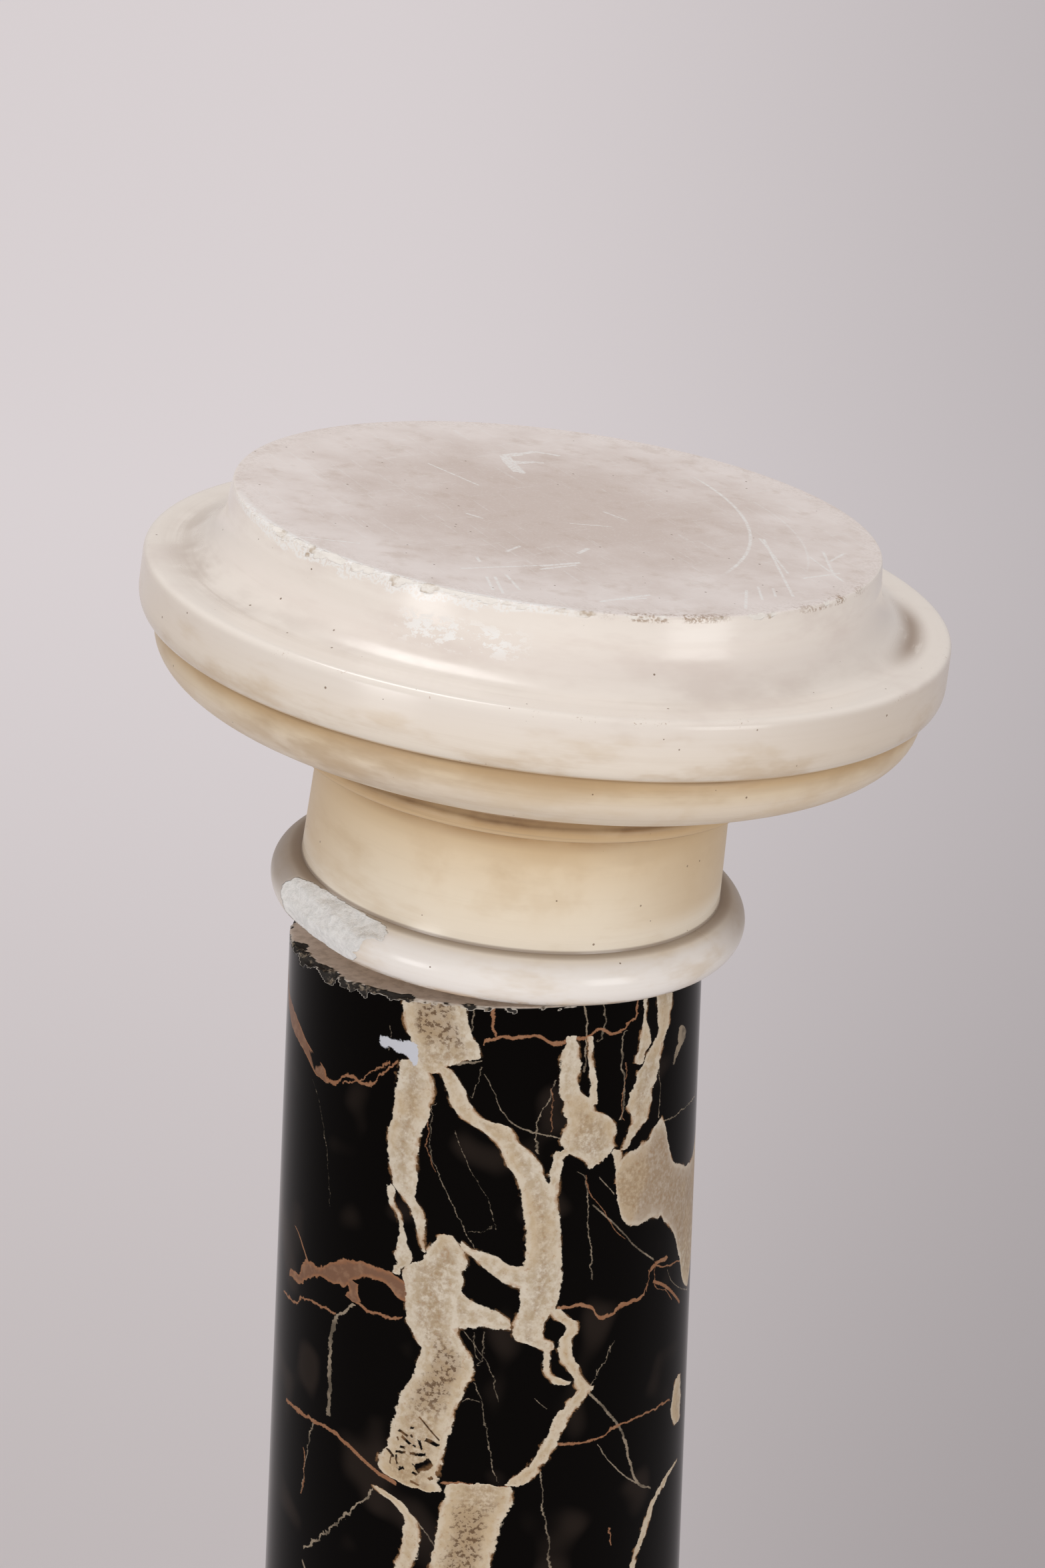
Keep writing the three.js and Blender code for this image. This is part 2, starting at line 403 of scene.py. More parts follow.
# Veins whose width changes along the way.
BANDS = (
    Vein(CREAM, DOWN, ((-2, -15.8, 14.3), (8, -15, 14.4), (15, -13.6, 15.3), (22, -12, 15.3), (27, -16.1, 8.7),
                       (31, -15.5, 5))),
    Vein(CREAM, DOWN, ((27, -22.1, 5.3), (34, -20, 8.3), (42, -20.4, 9.3), (49, -20.6, 8.1), (57, -22.1, 7.6),
                       (65, -22.6, 7.5), (79, -22, 6.3), (84, -21.6, 5.5), (88, -20.6, 3), (96, -17.4, 2.7),
                       (106, -16.3, 1.2), (112, -15.5, 0.7))),
    Vein(CREAM, DOWN, ((84, -25.8, 2), (91, -25.4, 1.6), (96, -23.3, 1.1), (102, -22.3, 0.9), (112, -21.6, 3.2),
                       (115, -21.3, 4.4), (120, -22.8, 2.5), (124, -23.4, 1.3))),
    Vein(CREAM, DOWN, ((28, -12.3, 2.8), (32, -10.5, 3.5), (37, -9, 4.2), (43, -7.4, 4.3), (49, -4.3, 4.8),
                       (52, 0.3, 7.9), (55, 3, 6.6), (60, 5.5, 4.9), (64, 7.8, 6.3), (70, 10, 7.4),
                       (76, 11.9, 6), (83, 12.9, 5.4))),
    Vein(CREAM, DOWN, ((76, 12.8, 3.9), (83, 14.1, 7.9), (89, 14.7, 8), (95, 15.5, 7.6), (110, 16, 7.9),
                       (122, 15.7, 9.2), (134, 15, 8.4), (140, 13.3, 6.9), (146, 12.6, 6.9), (151, 16, 5.9),
                       (155, 18.4, 2.2))),
    Vein(CREAM, DOWN, ((64, 21.6, 4.1), (68, 19.3, 2.7), (74, 18.4, 2.4), (80, 18, 2.9), (85, 17.9, 2.6))),
    Vein(CREAM, DOWN, ((13, 21.5, 2.2), (21, 21.5, 4.1), (29, 21.6, 5), (36, 21.5, 4), (42, 24.2, 6.1),
                       (49, 24.9, 7.7), (56, 28, 13.2), (60, 28, 13.8), (66, 29.2, 11.8), (70, 29.9, 5.7),
                       (74, 27.4, 0.8))),
    Vein(CREAM, DOWN, ((68, 35.7, 2.9), (76, 37.4, 1.8), (84, 37.6, 1.3))),
    Vein(CREAM, DOWN, ((15, 27.1, 1.2), (25, 27.5, 1.3), (40, 28.4, 1.8), (46, 28.2, 2.4))),
    Vein(CREAM, DOWN, ((-2, 52, 7.2), (16, 53.6, 4.7), (23, 51.7, 3.6), (30, 49.5, 5.1), (36, 47.4, 7.6),
                       (43, 46.3, 7.4), (50, 44.3, 7.6), (55, 45, 5.7), (60, 43.2, 4.5), (65, 40.9, 2.4),
                       (69, 38.9, 1.9))),
    Vein(CREAM, DOWN, ((-2, 45.1, 1.5), (13, 45.1, 1), (21, 45.7, 3.6), (27, 44, 3.5), (32, 43.5, 2.5))),
    Vein(CREAM, AROUND, ((37.5, 84.5, 6), (38.5, 85.6, 12.8), (40.4, 86.8, 15.7), (42.8, 87.8, 17.5),
                         (45.5, 87.7, 18.6), (48.4, 86.9, 19.3), (51.3, 84.5, 21.3), (54.1, 84, 23.6),
                         (56.5, 89.4, 20.5), (58.7, 94.9, 17.3), (61.1, 100.3, 15.4), (64.1, 104.9, 17.2),
                         (67.7, 112, 21.9), (72.3, 120.5, 28.4), (77.7, 124.1, 30.6), (90, 127, 28))),
    Vein(THREAD, DOWN, ((23.5, 62.3, 2.2), (28, 63.8, 5), (32.2, 62.3, 3.2), (36.2, 60.3, 2), (39.3, 59, 1))),
    Vein(CREAM, DOWN, ((102, -9.3, 2.1), (106, -9.9, 6), (111, -9.6, 8.5), (118, -12.7, 12.3), (124, -13.2, 13.4),
                       (130, -13, 12), (142, -12.8, 12), (148, -11.7, 10.5), (154, -9.8, 10.4), (158, -8.6, 11.3),
                       (163, -8.7, 12.6), (169, -10.1, 13), (183, -13.5, 13.2), (197, -15.4, 12.7),
                       (206, -16.4, 13.2), (214, -17.9, 14.5), (219, -14.9, 11.2), (222, -10.7, 4.4))),
    Vein(CREAM, AROUND, ((-6, 134.4, 9.1), (-3, 137.2, 6.3), (1, 138.4, 4.7), (4, 139.7, 4.3), (8, 142.1, 1.9))),
    Vein(CREAM, AROUND, ((-6, 105.9, 1.9), (-3, 109.3, 1.5), (0, 112.1, 3.4), (4, 115.7, 4.9), (7, 119.1, 4.6),
                         (12, 120.9, 5.3))),
    Vein(CREAM, DOWN, ((217, 0.7, 13.6), (221, 1.4, 14.7), (228, 0, 14.4), (234, -0.7, 13.6), (242, -1.4, 12.9),
                       (257, -2.9, 13), (290, -5, 11))),
    Vein(CREAM, DOWN, ((175, 29.9, 3.3), (182, 26.4, 4.4), (188, 22.8, 4.1), (196, 20.5, 3.4), (203, 18.6, 3.8),
                       (210, 15.1, 3.7), (217, 10.3, 5.8))),
    Vein(CREAM, DOWN, ((136, 19.3, 3), (142, 22.5, 3.5), (146, 24.8, 3.1), (150, 23.4, 3.1), (154, 23, 3.1),
                       (163, 25.2, 3.2), (169, 27, 2), (176, 29.2, 3.7))),
    Vein(CREAM, DOWN, ((154, 17.9, 1.5), (162, 17.9, 1.5), (168, 20.3, 1.9), (172, 24, 4.7))),
    Vein(CREAM, DOWN, ((225, -26.5, 1.8), (227, -24.3, 3.6), (229, -21.1, 3.1), (234, -18.1, 2.3), (241, -16.1, 3.8),
                       (250, -16.6, 4.2), (260, -18, 3.8), (290, -21, 2))),
    Vein(CREAM, DOWN, ((193, 71.3, 3.3), (205, 70, 7.5), (217, 73, 4.3))),
    Vein(CREAM, DOWN, ((236, 72, 6), (242, 60, 2.6), (252, 54.1, 2.7), (261, 51.4, 2.5), (271, 47.8, 1.7),
                       (290, 43, 1.4))),
    Vein(RUST, DOWN, ((23, -82.3, 2.7), (27, -77.7, 9.7), (31, -71.2, 8.8), (36, -66.2, 10.3), (40, -59.6, 8.1),
                      (43, -55.1, 7.7), (47, -52.5, 5.6), (49, -49, 2.3))),
    Vein(RUST, AROUND, ((-67, 147.1, 1.5), (-61, 146, 2.3), (-56, 139.6, 4.8), (-49, 135.6, 2.1), (-44, 132.9, 5),
                        (-40, 131.1, 6.2), (-35, 126.9, 4.2), (-31, 125.8, 3.3), (-27, 126.2, 2.7),
                        (-23, 129.5, 4.7), (-19, 131, 4.9), (-16, 131.2, 3.8))),
    Vein(RUST, DOWN, ((133, -37.4, 4.2), (137, -36.4, 2.7), (142, -36.2, 4.6))),
    Vein(PLASTER, AROUND, ((-31.1, 21.8, 1.3), (-29.9, 21.6, 2), (-28.4, 21.5, 2.3), (-27.2, 21.3, 1.9),
                           (-25.9, 21.8, 2.6), (-23, 22, 3), (-21.7, 22.9, 4.1), (-20.7, 23.8, 5),
                           (-19.8, 24.2, 5.2), (-19.3, 23.9, 3.8))),
)

# Veins of even width.
THREADS = (
    thread(RUST, AROUND, 1.8, (-50, 47.6), (-47, 47.6), (-40, 40.8), (-36, 42.5), (-31, 37.7), (-27, 31.1), (-25, 29)),
    thread(RUST, AROUND, 1.1, (-43, 45.7), (-37, 41.5), (-33, 36), (-27, 29.5)),
    thread(RUST, DOWN, 1.6, (123, -67.4), (125, -61.1), (130, -57.8), (135, -54.9)),
    thread(RUST, AROUND, 1.7, (-37, 139), (-33, 143), (-28, 144.5), (-21, 142.8)),
    thread(RUST, AROUND, 1.4, (-71, 159.6), (-60, 158.2), (-50, 151.3), (-42, 151.2)),
    thread(RUST, AROUND, 1.8, (-2, 19.7), (1, 13.5), (7, 13), (12, 12.9), (17, 16.3), (21, 15), (25, 15.2), (30, 12.6),
           (34, 15.2), (38, 12.9), (42, 10.3)),
    thread(RUST, DOWN, 1.6, (-2, 0.1), (6, 0.4), (11, 0.7), (13, 1.8)),
    thread(RUST, DOWN, 1.5, (-2, 42.9), (8, 42.1), (11, 40.5)),
    thread(RUST, AROUND, 2.0, (20, 135.8), (25, 135.9), (32, 141.5), (35, 144.3), (41, 141.2), (47, 141.2),
           (50, 136.3)),
    thread(RUST, AROUND, 2.4, (50, 138.7), (51, 131.5), (54, 128.4), (60, 128.9)),
    thread(RUST, AROUND, 2.0, (53, 136.3), (58, 140.9), (66, 151.4), (70, 157.5)),
    thread(RUST, AROUND, 2.2, (-65, 208.1), (-53, 207.2), (-45, 206.4), (-39, 208.4), (-32, 213.3), (-26, 218.1),
           (-21, 220.8)),
    thread(RUST, AROUND, 1.3, (20, 197.1), (27, 200.5), (33, 201.1), (38, 198.7), (43, 197.9), (52, 198.5),
           (65, 200.7)),
    thread(RUST, AROUND, 1.5, (-9, 217.4), (-3, 216.6), (6, 217.4), (9, 216)),
    thread(THREAD, AROUND, 1.2, (-2, 28.4), (1, 36.2), (4, 46.5), (8, 52.4), (13, 55.6), (20, 58.7)),
    thread(THREAD, DOWN, 1.1, (32, 17.8), (44, 15.4), (56, 12.9), (65, 13.6)),
    thread(THREAD, DOWN, 0.9, (43, -13.3), (58, -15.2), (72, -13.1), (86, -9.2), (98, -5.4), (108, -2.1)),
    thread(THREAD, DOWN, 0.7, (54, -9), (68, -5.2), (77, -2.4), (87, 1.3), (99, 3.3)),
    thread(THREAD, DOWN, 1.1, (75, 25), (90, 28.3), (100, 28.6), (113, 29.9), (125, 30.2)),
    thread(THREAD, AROUND, 1.1, (31, 78.3), (37, 88.9)),
    thread(THREAD, AROUND, 1.5, (29, 89.9), (39, 105.5), (45, 116), (53, 126)),
    thread(THREAD, DOWN, 0.9, (145, -4.4), (155, 0.2), (164, 3.5), (178, 5.5)),
    thread(THREAD, DOWN, 0.9, (168, -1.2), (183, 1.7), (202, 3.8), (216, 6.3)),
    thread(THREAD, DOWN, 2.0, (176, 29.4), (189, 36.6), (204, 42.9), (225, 47.4), (236, 55.9)),
    thread(THREAD, AROUND, 1.4, (34, 203.2), (40, 217.1), (47, 227.9), (56, 237.5)),
    thread(THREAD, AROUND, 2.2, (-52, 271.8), (-43, 256.6), (-35, 241.9), (-27, 226.4)),
    thread(THREAD, DOWN, 1.2, (211, 17.3), (228, 18.6), (256, 21.1), (290, 23)),
    thread(THREAD, DOWN, 1.2, (228, -22), (235, -15.8), (249, -9.2)),
    thread(THREAD, DOWN, 2.8, (143, -35.3), (149, -39), (158, -43), (171, -43.9), (187, -43.5), (201, -44)),
    thread(THREAD, DOWN, 0.6, (51, -56.3), (69, -50.2), (89, -47.3), (104, -46.1)),
    thread(THREAD, AROUND, 1.0, (55, 63.9), (64, 63.5), (83, 67.8)),
    thread(THREAD, DOWN, 1.0, (36, 50.7), (49, 52.7), (61, 52.4)),
    thread(THREAD, DOWN, 1.4, (15, 38.5), (28, 37.2), (40, 38.7), (56, 36.9)),
    thread(THREAD, DOWN, 1.4, (-2, 23.6), (13, 25.8), (31, 25.3)),
    thread(THREAD, DOWN, 1.4, (-2, 29.6), (10, 31.3), (18, 27.9)),
    thread(THREAD, DOWN, 1.2, (-2, -5.9), (6, -4.9), (13, -5.6), (19, -2.4)),
    thread(THREAD, AROUND, 1.5, (-12, 26.1), (-7, 25.3), (-2, 23.3)),
    thread(THREAD, DOWN, 0.8, (26, -2.2), (34, -3.3), (41, -4.9)),
    thread(THREAD, AROUND, 0.7, (-3, 100.6), (2, 98), (3, 91.2)),
    thread(THREAD, DOWN, 1.3, (108, -1.7), (111, -5.1), (118, -7.2), (123, -5.7)),
    thread(THREAD, DOWN, 1.1, (207, -49.7), (224, -52.1), (245, -53.8)),
    thread(THREAD, DOWN, 0.7, (13, -28.3), (18, -27.6), (25, -27.8)),
    thread(RUST, DOWN, 0.6, (43, -14.8), (57, -16.1), (68, -14.9), (76, -12)),
    thread(THREAD, AROUND, 0.7, (-4, 100.4), (0, 99.3), (3, 97.6)),
    thread(RUST, DOWN, 0.6, (36, 16.5), (45, 17), (56, 16.2)),
    thread(RUST, DOWN, 0.7, (30, 39), (41, 38.8), (50, 37.8), (55, 38.5)),
    thread(RUST, DOWN, 0.7, (76, 26.9), (84, 28.4), (93, 32.5), (104, 36.8), (111, 41.4)),
    thread(RUST, AROUND, 1.0, (53, 125.4), (60, 133.2), (66, 134.9), (76, 139.2)),
    thread(RUST, DOWN, 0.8, (128, 54.3), (135, 53.4), (143, 58.8), (152, 63.8)),
    thread(THREAD, AROUND, 1.0, (60, 134.4), (65, 144.9), (81, 158.9)),
    thread(THREAD, DOWN, 0.9, (145, -2), (153, -1.3), (159, 1.2)),
    thread(THREAD, DOWN, 0.9, (145, 1.1), (153, 1), (162, -0.8)),
    thread(THREAD, AROUND, 0.8, (-4, 179.5), (-1, 176.8), (1, 179)),
    thread(THREAD, DOWN, 1.0, (156, 38.3), (165, 35.2), (175, 30.7)),
    thread(THREAD, AROUND, 0.9, (15, 176), (17, 179.9), (19, 182.7)),
    thread(RUST, DOWN, 1.0, (246, 39.1), (255, 39.8)),
    thread(RUST, DOWN, 1.0, (222, -54.6), (233, -52.9), (247, -54.1)),
)

# Dark needles in the lower cream band: both ends and half the width, in millimetres of arc and depth.
NEEDLES = (
    (-34.2, 195.3, -30.3, 197.2, 0.5), (-29.6, 192.6, -27.2, 193.2, 0.45), (-24.4, 188, -16.1, 196.8, 0.2),
    (-28.6, 196.6, -27.5, 197.5, 0.4), (-34.3, 199.2, -33.7, 200.4, 0.35), (-32, 198.5, -29.6, 200.2, 0.5),
    (-28, 200.6, -26.5, 201.4, 0.3), (-24.2, 198.9, -23.4, 202.4, 0.5), (-21.7, 197.8, -16.6, 199.3, 0.8),
    (-33.2, 202.8, -31, 203.2, 0.5), (-35.1, 205.7, -30, 205.9, 0.5), (-28, 205.7, -21.4, 204.8, 0.5),
    (-39, 205.5, -36.4, 208, 0.4), (-36.4, 208, -37.6, 211.9, 0.35), (-35, 207.2, -33.5, 211.9, 0.4),
    (-33.7, 213.9, -31.3, 212.5, 0.5), (-25.6, 212.2, -18.8, 208.2, 1.9), (-27.5, 213.7, -25.3, 214.7, 0.5),
    (-19.1, 216.5, -17.9, 215.2, 0.6), (-15.5, 212.2, -15.2, 214.4, 0.8), (-35.4, 221.4, -32.5, 221.1, 1.2),
    (-31.2, 221.3, -30.5, 221.1, 0.9), (-27.4, 218.7, -23.9, 219.8, 0.3),
)

# A black eye inside a rusty vein, in the same way.
EYES = ((-92.5, 38.2, -88.6, 44.2, 3.4),)


@dataclass(frozen=True)
class BlackMarble:
    """Polished black marble with cream bands, rusty threads and grey hairlines.

    The veins are drawn on the front. The back and the lower drum take them from there,
    folded over and shifted more and more.
    """

    black: Colour = tone(8, 6, 5)
    smoke: Colour = tone(46, 38, 33)
    pale: Colour = tone(218, 207, 188)
    cream: Colour = tone(190, 172, 145)
    sand: Colour = tone(201, 178, 144)
    heart: Colour = tone(156, 130, 99)
    edge: Colour = tone(168, 126, 86)
    pit: Colour = tone(84, 60, 41)
    rust: Colour = tone(152, 108, 79)
    clay: Colour = tone(128, 95, 75)
    bloom: Colour = tone(172, 137, 109)
    ash: Colour = tone(174, 155, 137)
    thread: Colour = tone(152, 138, 119)
    plaster: Colour = tone(205, 207, 214)
    # Painted light: the honed top is paler than honed black stone.
    honed_lit: Colour = tone(236, 223, 210)
    honed_lit_dull: Colour = tone(214, 200, 186)
    flake: Colour = tone(58, 55, 52)
    flake_dust: Colour = tone(150, 138, 122)
    flake_edge: Colour = tone(214, 206, 194)
    fold: float = 275.0
    sweep: float = 1.64
    hidden: Point = (82.0, 112.0)
    lower: Point = (265.0, 315.0)
    swing: float = 70.0
    sink: float = 110.0
    jolt: float = 3.0
    drop: float = 4.0
    twist: float = 0.24
    slip_from: float = 78.0
    slip: float = 1.7
    route_turn: float = 200.0
    route_lead: float = 10.0
    route_drop: float = 320.0
    tip: float = 0.005
    gone: float = -9.0
    outside: float = -40.0
    ior: float = 1.12

    def vein_map(self, veins: Sequence[Vein]) -> bpy.types.NodeTree:
        """A group that tells how deep inside each kind of vein a place lies, in millimetres.

        Args:
            veins: Every vein on the shaft.

        Returns:
            The group's tree.
        """
        inputs = [("Bearing", "NodeSocketFloat"), ("Depth", "NodeSocketFloat")]
        g, source, sink = new_group("vein_map", inputs, [kind.value for kind in Tone])
        bearing, depth = source.outputs["Bearing"], source.outputs["Depth"]
        around = g.math("MULTIPLY_ADD", bearing, 1 / self.route_turn, 0.5)
        down = g.math("MULTIPLY", g.math("ADD", depth, self.route_lead), 1 / self.route_drop)
        deepest: dict[Tone, Feed] = {kind: self.outside for kind in Tone}
        for vein in veins:
            if vein.run is DOWN:
                along, across, share = down, bearing, -self.sweep
                stops = [((at + self.route_lead) / self.route_drop, side, half) for at, side, half in vein.stops]
            else:
                along, across, share = around, depth, -1.0
                stops = [(at / self.route_turn + 0.5, side, half) for at, side, half in vein.stops]
            ends = (stops[0][0] - self.tip, self.gone), (stops[-1][0] + self.tip, self.gone)
            route = g.curve(along, [(at, side) for at, side, _ in stops], False)
            half = g.curve(along, [ends[0], *[(at, wide) for at, _, wide in stops], ends[1]], True)
            inside = g.math("MULTIPLY_ADD", g.apart(across, route), share, half)
            deepest[vein.colour] = g.math("MAXIMUM", inside, deepest[vein.colour])
        for kind in Tone:
            g.feed(sink.inputs[kind.value], deepest[kind])
        return g.tree

    def course(self, g: Graph, place: Feed, bearing: Feed, depth: Feed) -> tuple[Socket, Socket, Socket]:
        """Finds the place on the drawn front whose veins a place shows.

        Args:
            g: The material's graph.
            place: The place in millimetres.
            bearing: Its bearing.
            depth: Its depth below the shaft's top.

        Returns:
            The bearing and the depth on the drawn front, and how far it is left behind.
        """
        ragged = g.math("SUBTRACT", g.cloud(place, 0.22, 4.0, 0.6), 0.5)
        broad = g.add("ShaderNodeTexNoise", {"Vector": place, "Scale": 0.011, "Detail": 2.0})
        drift = g.channels(broad.outputs["Color"])
        side = g.math("ABSOLUTE", bearing)
        unseen = g.most(g.rise(side, *self.hidden), g.rise(depth, *self.lower))
        swing = g.times(g.math("SUBTRACT", drift[0], 0.5), g.times(unseen, self.swing))
        sink = g.times(g.math("SUBTRACT", drift[1], 0.5), g.times(unseen, self.sink))
        twist = g.beyond(depth, self.fold, self.twist)
        slip = g.beyond(side, self.slip_from, self.slip)
        turned = g.math("ADD", g.math("ADD", bearing, twist), g.math("ADD", swing, g.times(ragged, self.jolt)))
        lowered = g.math("ADD", g.math("ADD", depth, slip), g.math("ADD", sink, g.times(ragged, self.drop)))
        near = g.math("SUBTRACT", g.math("PINGPONG", g.math("ADD", turned, 90.0), 180.0), 90.0)
        folded = g.math("PINGPONG", lowered, self.fold)
        level = g.slide(g.rise(lowered, self.fold - 1.0, self.fold), lowered, folded)
        return near, level, unseen

    def material(self, veins: Sequence[Vein]) -> Material:
        """The shaft's finish.

        Args:
            veins: Every vein on the shaft.

        Returns:
            The material.
        """
        material, g, shader = new_material("black_marble")
        place = g.add("ShaderNodeVectorMath", {0: g.own(), "Scale": 1 / MM}, operation="SCALE").outputs[0]
        axes = g.axes(place)
        bearing = g.bearing(axes[0], axes[1])
        depth = g.math("SUBTRACT", SHAFT_TOP, axes[2])
        near, level, unseen = self.course(g, place, bearing, depth)
        found = g.add("ShaderNodeGroup", {}, node_tree=self.vein_map(veins))
        g.feed(found.inputs["Bearing"], near)
        g.feed(found.inputs["Depth"], level)
        grit = g.math("SUBTRACT", g.cloud(place, 0.8, 3.0, 0.6), 0.5)
        frays = {CREAM: 1.0, RUST: 0.8, THREAD: 1.2, PLASTER: 2.4}
        inside = {kind: g.math("MULTIPLY_ADD", grit, fray, found.outputs[kind.value])
                  for kind, fray in frays.items()}
        arc = g.math("MULTIPLY", near, self.sweep)
        blotch = g.cloud(place, 0.11, 3.0)
        fine = g.cloud(place, 0.24, 5.0, 0.62)

        smoke = g.rise(g.cloud(place, 0.03, 1.0), 0.58, 0.74)
        colour = g.coat(self.black, self.smoke, smoke, 0.7)
        fade = g.slide(g.rise(blotch, 0.38, 0.6), 0.4, 1.0)
        colour = g.coat(colour, self.thread, g.rise(inside[THREAD], 0.1, 0.5), fade)
        rusty = g.coat(self.rust, self.clay, g.rise(inside[RUST], 0.5, 2.4))
        rusty = g.coat(rusty, self.bloom, g.rise(fine, 0.46, 0.66), 0.35)
        eye = g.rise(g.strokes(arc, level, EYES), 0.5, -0.5)
        rust = g.times(g.rise(inside[RUST], -0.1, 0.45), g.without(eye))
        colour = g.coat(colour, rusty, rust)
        colour = g.coat(colour, self.edge, g.rise(inside[CREAM], -1.1, -0.4), g.rise(blotch, 0.46, 0.62), 0.45)
        needles = g.rise(g.strokes(arc, level, NEEDLES), 0.4, -0.05)
        cream = g.times(g.rise(inside[CREAM], -0.3, 0.3), g.without(needles))
        colour = g.coat(colour, self.creamy(g, place, near, level, inside[CREAM], blotch, fine), cream)
        plaster = g.times(g.rise(inside[PLASTER], -0.4, 0.4), g.without(unseen))
        colour = g.coat(colour, self.plaster, plaster)

        # Painted light: the honed top is paler than honed black stone, to lift the shade under the capital's ring.
        top = g.rise(depth, 0.7, 0.15)
        colour = g.coat(colour, g.coat(self.honed_lit, self.honed_lit_dull, g.rise(fine, 0.4, 0.66)), top)
        chip = g.worn("chip")
        flake = g.coat(self.flake, self.flake_dust, g.rise(fine, 0.52, 0.64))
        colour = g.coat(colour, flake, g.rise(chip, 0.3, 0.5))
        colour = g.coat(colour, self.flake_edge, g.between(chip, 0.16, 0.36, 0.08), 0.85)
        rough = g.slide(g.most(cream, rust), 0.13, 0.3)
        rough = g.slide(g.most(top, chip, plaster), rough, 0.7)
        g.dress(shader, colour, rough, g.times(chip, fine, 1.4), 0.8)
        shader.inputs["IOR"].default_value = self.ior
        return material

    def creamy(self, g: Graph, place: Feed, near: Feed, level: Feed, inside: Feed, blotch: Feed, fine: Feed) -> Socket:
        """The colour of the cream bands: pale edges, sandy stretches and a pitted brown heart.

        Args:
            g: The material's graph.
            place: Places in millimetres.
            near: Bearings on the drawn front.
            level: Depths on the drawn front.
            inside: How deep inside a band a place lies.
            blotch: A coarse noise.
            fine: A fine noise.

        Returns:
            The colour.
        """
        speckle = g.cloud(place, 0.5, 3.0, 0.65)
        middle = g.math("MULTIPLY_ADD", fine, 9.0, inside)
        heart = g.times(g.rise(middle, 7.5, 13.0), g.rise(speckle, 0.34, 0.6))
        pitted = g.most(g.rise(level, 24.0, 12.0), g.between(level, 152.0, 184.0, 7.0), g.rise(level, 222.0, 234.0))
        core = g.times(pitted, g.rise(middle, 8.5, 13.0))
        aged = g.rise(g.cloud(place, 0.035, 2.0), 0.46, 0.64)
        ashen = g.times(g.rise(near, 36.0, 44.0), g.between(level, 66.0, 130.0, 8.0))
        colour = g.coat(self.cream, self.pale, g.rise(fine, 0.36, 0.62))
        colour = g.coat(colour, self.sand, g.rise(level, 120.0, 230.0), 0.5)
        colour = g.coat(colour, self.ash, ashen, 0.6)
        colour = g.coat(colour, self.sand, aged, 0.6)
        colour = g.coat(colour, self.heart, g.most(heart, core), 0.55)
        colour = g.coat(colour, self.pale, g.rise(inside, 3.0, 1.0), 0.5)
        colour = g.coat(colour, self.edge, g.rise(inside, 1.8, 0.2), g.rise(blotch, 0.5, 0.62), 0.6)
        colour = g.coat(colour, self.edge, g.rise(speckle, 0.6, 0.68), 0.35)
        return g.coat(colour, self.pit, core, g.rise(speckle, 0.5, 0.58), 0.75)


def stone_body() -> bpy.types.NodeTree:
    """The group that every white marble piece shares: clouds, grain, turning lines and specks.

    Returns:
        The group's tree, which takes a place in millimetres.
    """
    outputs = ["Cloud", "Grain", "Turning", "Speck"]
    g, source, sink = new_group("white_stone_body", [("Place", "NodeSocketVector")], outputs)
    place = source.outputs["Place"]
    axes = g.axes(place)
    radius = g.span(axes[0], axes[1])
    around = [g.math("MULTIPLY", g.math("DIVIDE", axes[k], radius), 1.6) for k in (0, 1)]
    along = g.math("MULTIPLY", g.math("MULTIPLY_ADD", axes[2], 1.7, radius), 0.36)
    turned = g.add("ShaderNodeCombineXYZ", {0: around[0], 1: around[1], 2: along}).outputs[0]
    cells = g.add("ShaderNodeTexVoronoi", {"Vector": place, "Scale": 0.17})
    size = g.math("MULTIPLY", g.rise(g.channels(cells.outputs["Color"])[0], 0.5, 1.0), 0.1)
    dot = g.rise(g.math("SUBTRACT", cells.outputs["Distance"], size), 0.0, -0.03)
    values = g.cloud(place, 0.02, 4.0), g.cloud(place, 0.9, 3.0, 0.6), g.cloud(turned, 1.0, 4.0, 0.6), dot
    for label, value in zip(outputs, values):
        g.feed(sink.inputs[label], value)
    return g.tree


# Straight scratches on the flat top, with a patch of broad ones: both ends and half the width.
STROKES = (
    (84.1, -3.6, 93.4, -49.7, 0.4), (85.8, -4.3, 93.7, -81.3, 0.5), (75.2, -80.2, 73.8, -104.8, 0.5),
    (80.1, -73.6, 81, -91, 0.4), (86.1, -73.3, 86.6, -84.2, 0.4), (99.3, -54.1, 115.1, -40.4, 0.5),
    (110.2, -11.6, 112.3, -41.6, 0.5), (112, -25.2, 119.3, -10, 0.5), (104, -22, 116, -52, 0.4),
    (16.8, -120, 36.4, -103.1, 0.7), (19.4, -116.7, 35, -108.1, 0.5), (-6.8, -82.9, 9, -71.5, 0.8),
    (-6.8, -87.4, 7.6, -75.2, 0.6), (4.6, -17, 21.9, -14.2, 0.3), (18.5, 7, 28.3, -1.3, 0.4),
    (8.2, -58.8, 12.3, -50, 0.8), (-37.2, -99.2, -2.3, -79.5, 0.5), (-27.2, -106, -24.2, -122.2, 0.5),
    (-24, -104.6, -20.3, -124.8, 0.5), (-19.6, -100.5, -14, -117.9, 0.5), (-20.4, -69, -15.2, -58.8, 0.6),
    (-57.1, 48.4, -34.7, 23.9, 0.4), (-101.5, -84, -77.9, -82.8, 0.4), (-38, -21.5, -31, -25.8, 0.5),
    (-31.9, -81, -30.4, -87.2, 0.6),
    (-24.6, 76.9, -22.8, 67.9, 2.4), (-22.8, 67.9, -17.8, 53, 2.6), (-24.6, 76.9, -18.2, 83.1, 2),
    (-17.8, 53, -15.2, 52.5, 1.4), (-18.2, 83.1, -11.8, 90.1, 1.2), (-11.8, 90.1, -4.1, 89.3, 0.9),
    (-4.1, 89.3, -0.6, 88.2, 1.1), (-17.2, 68.8, -11.5, 72.9, 1.5), (-11.5, 72.9, -7.4, 73.1, 0.7),
    (-22.8, 67.9, -17.2, 68.8, 2.2),
)

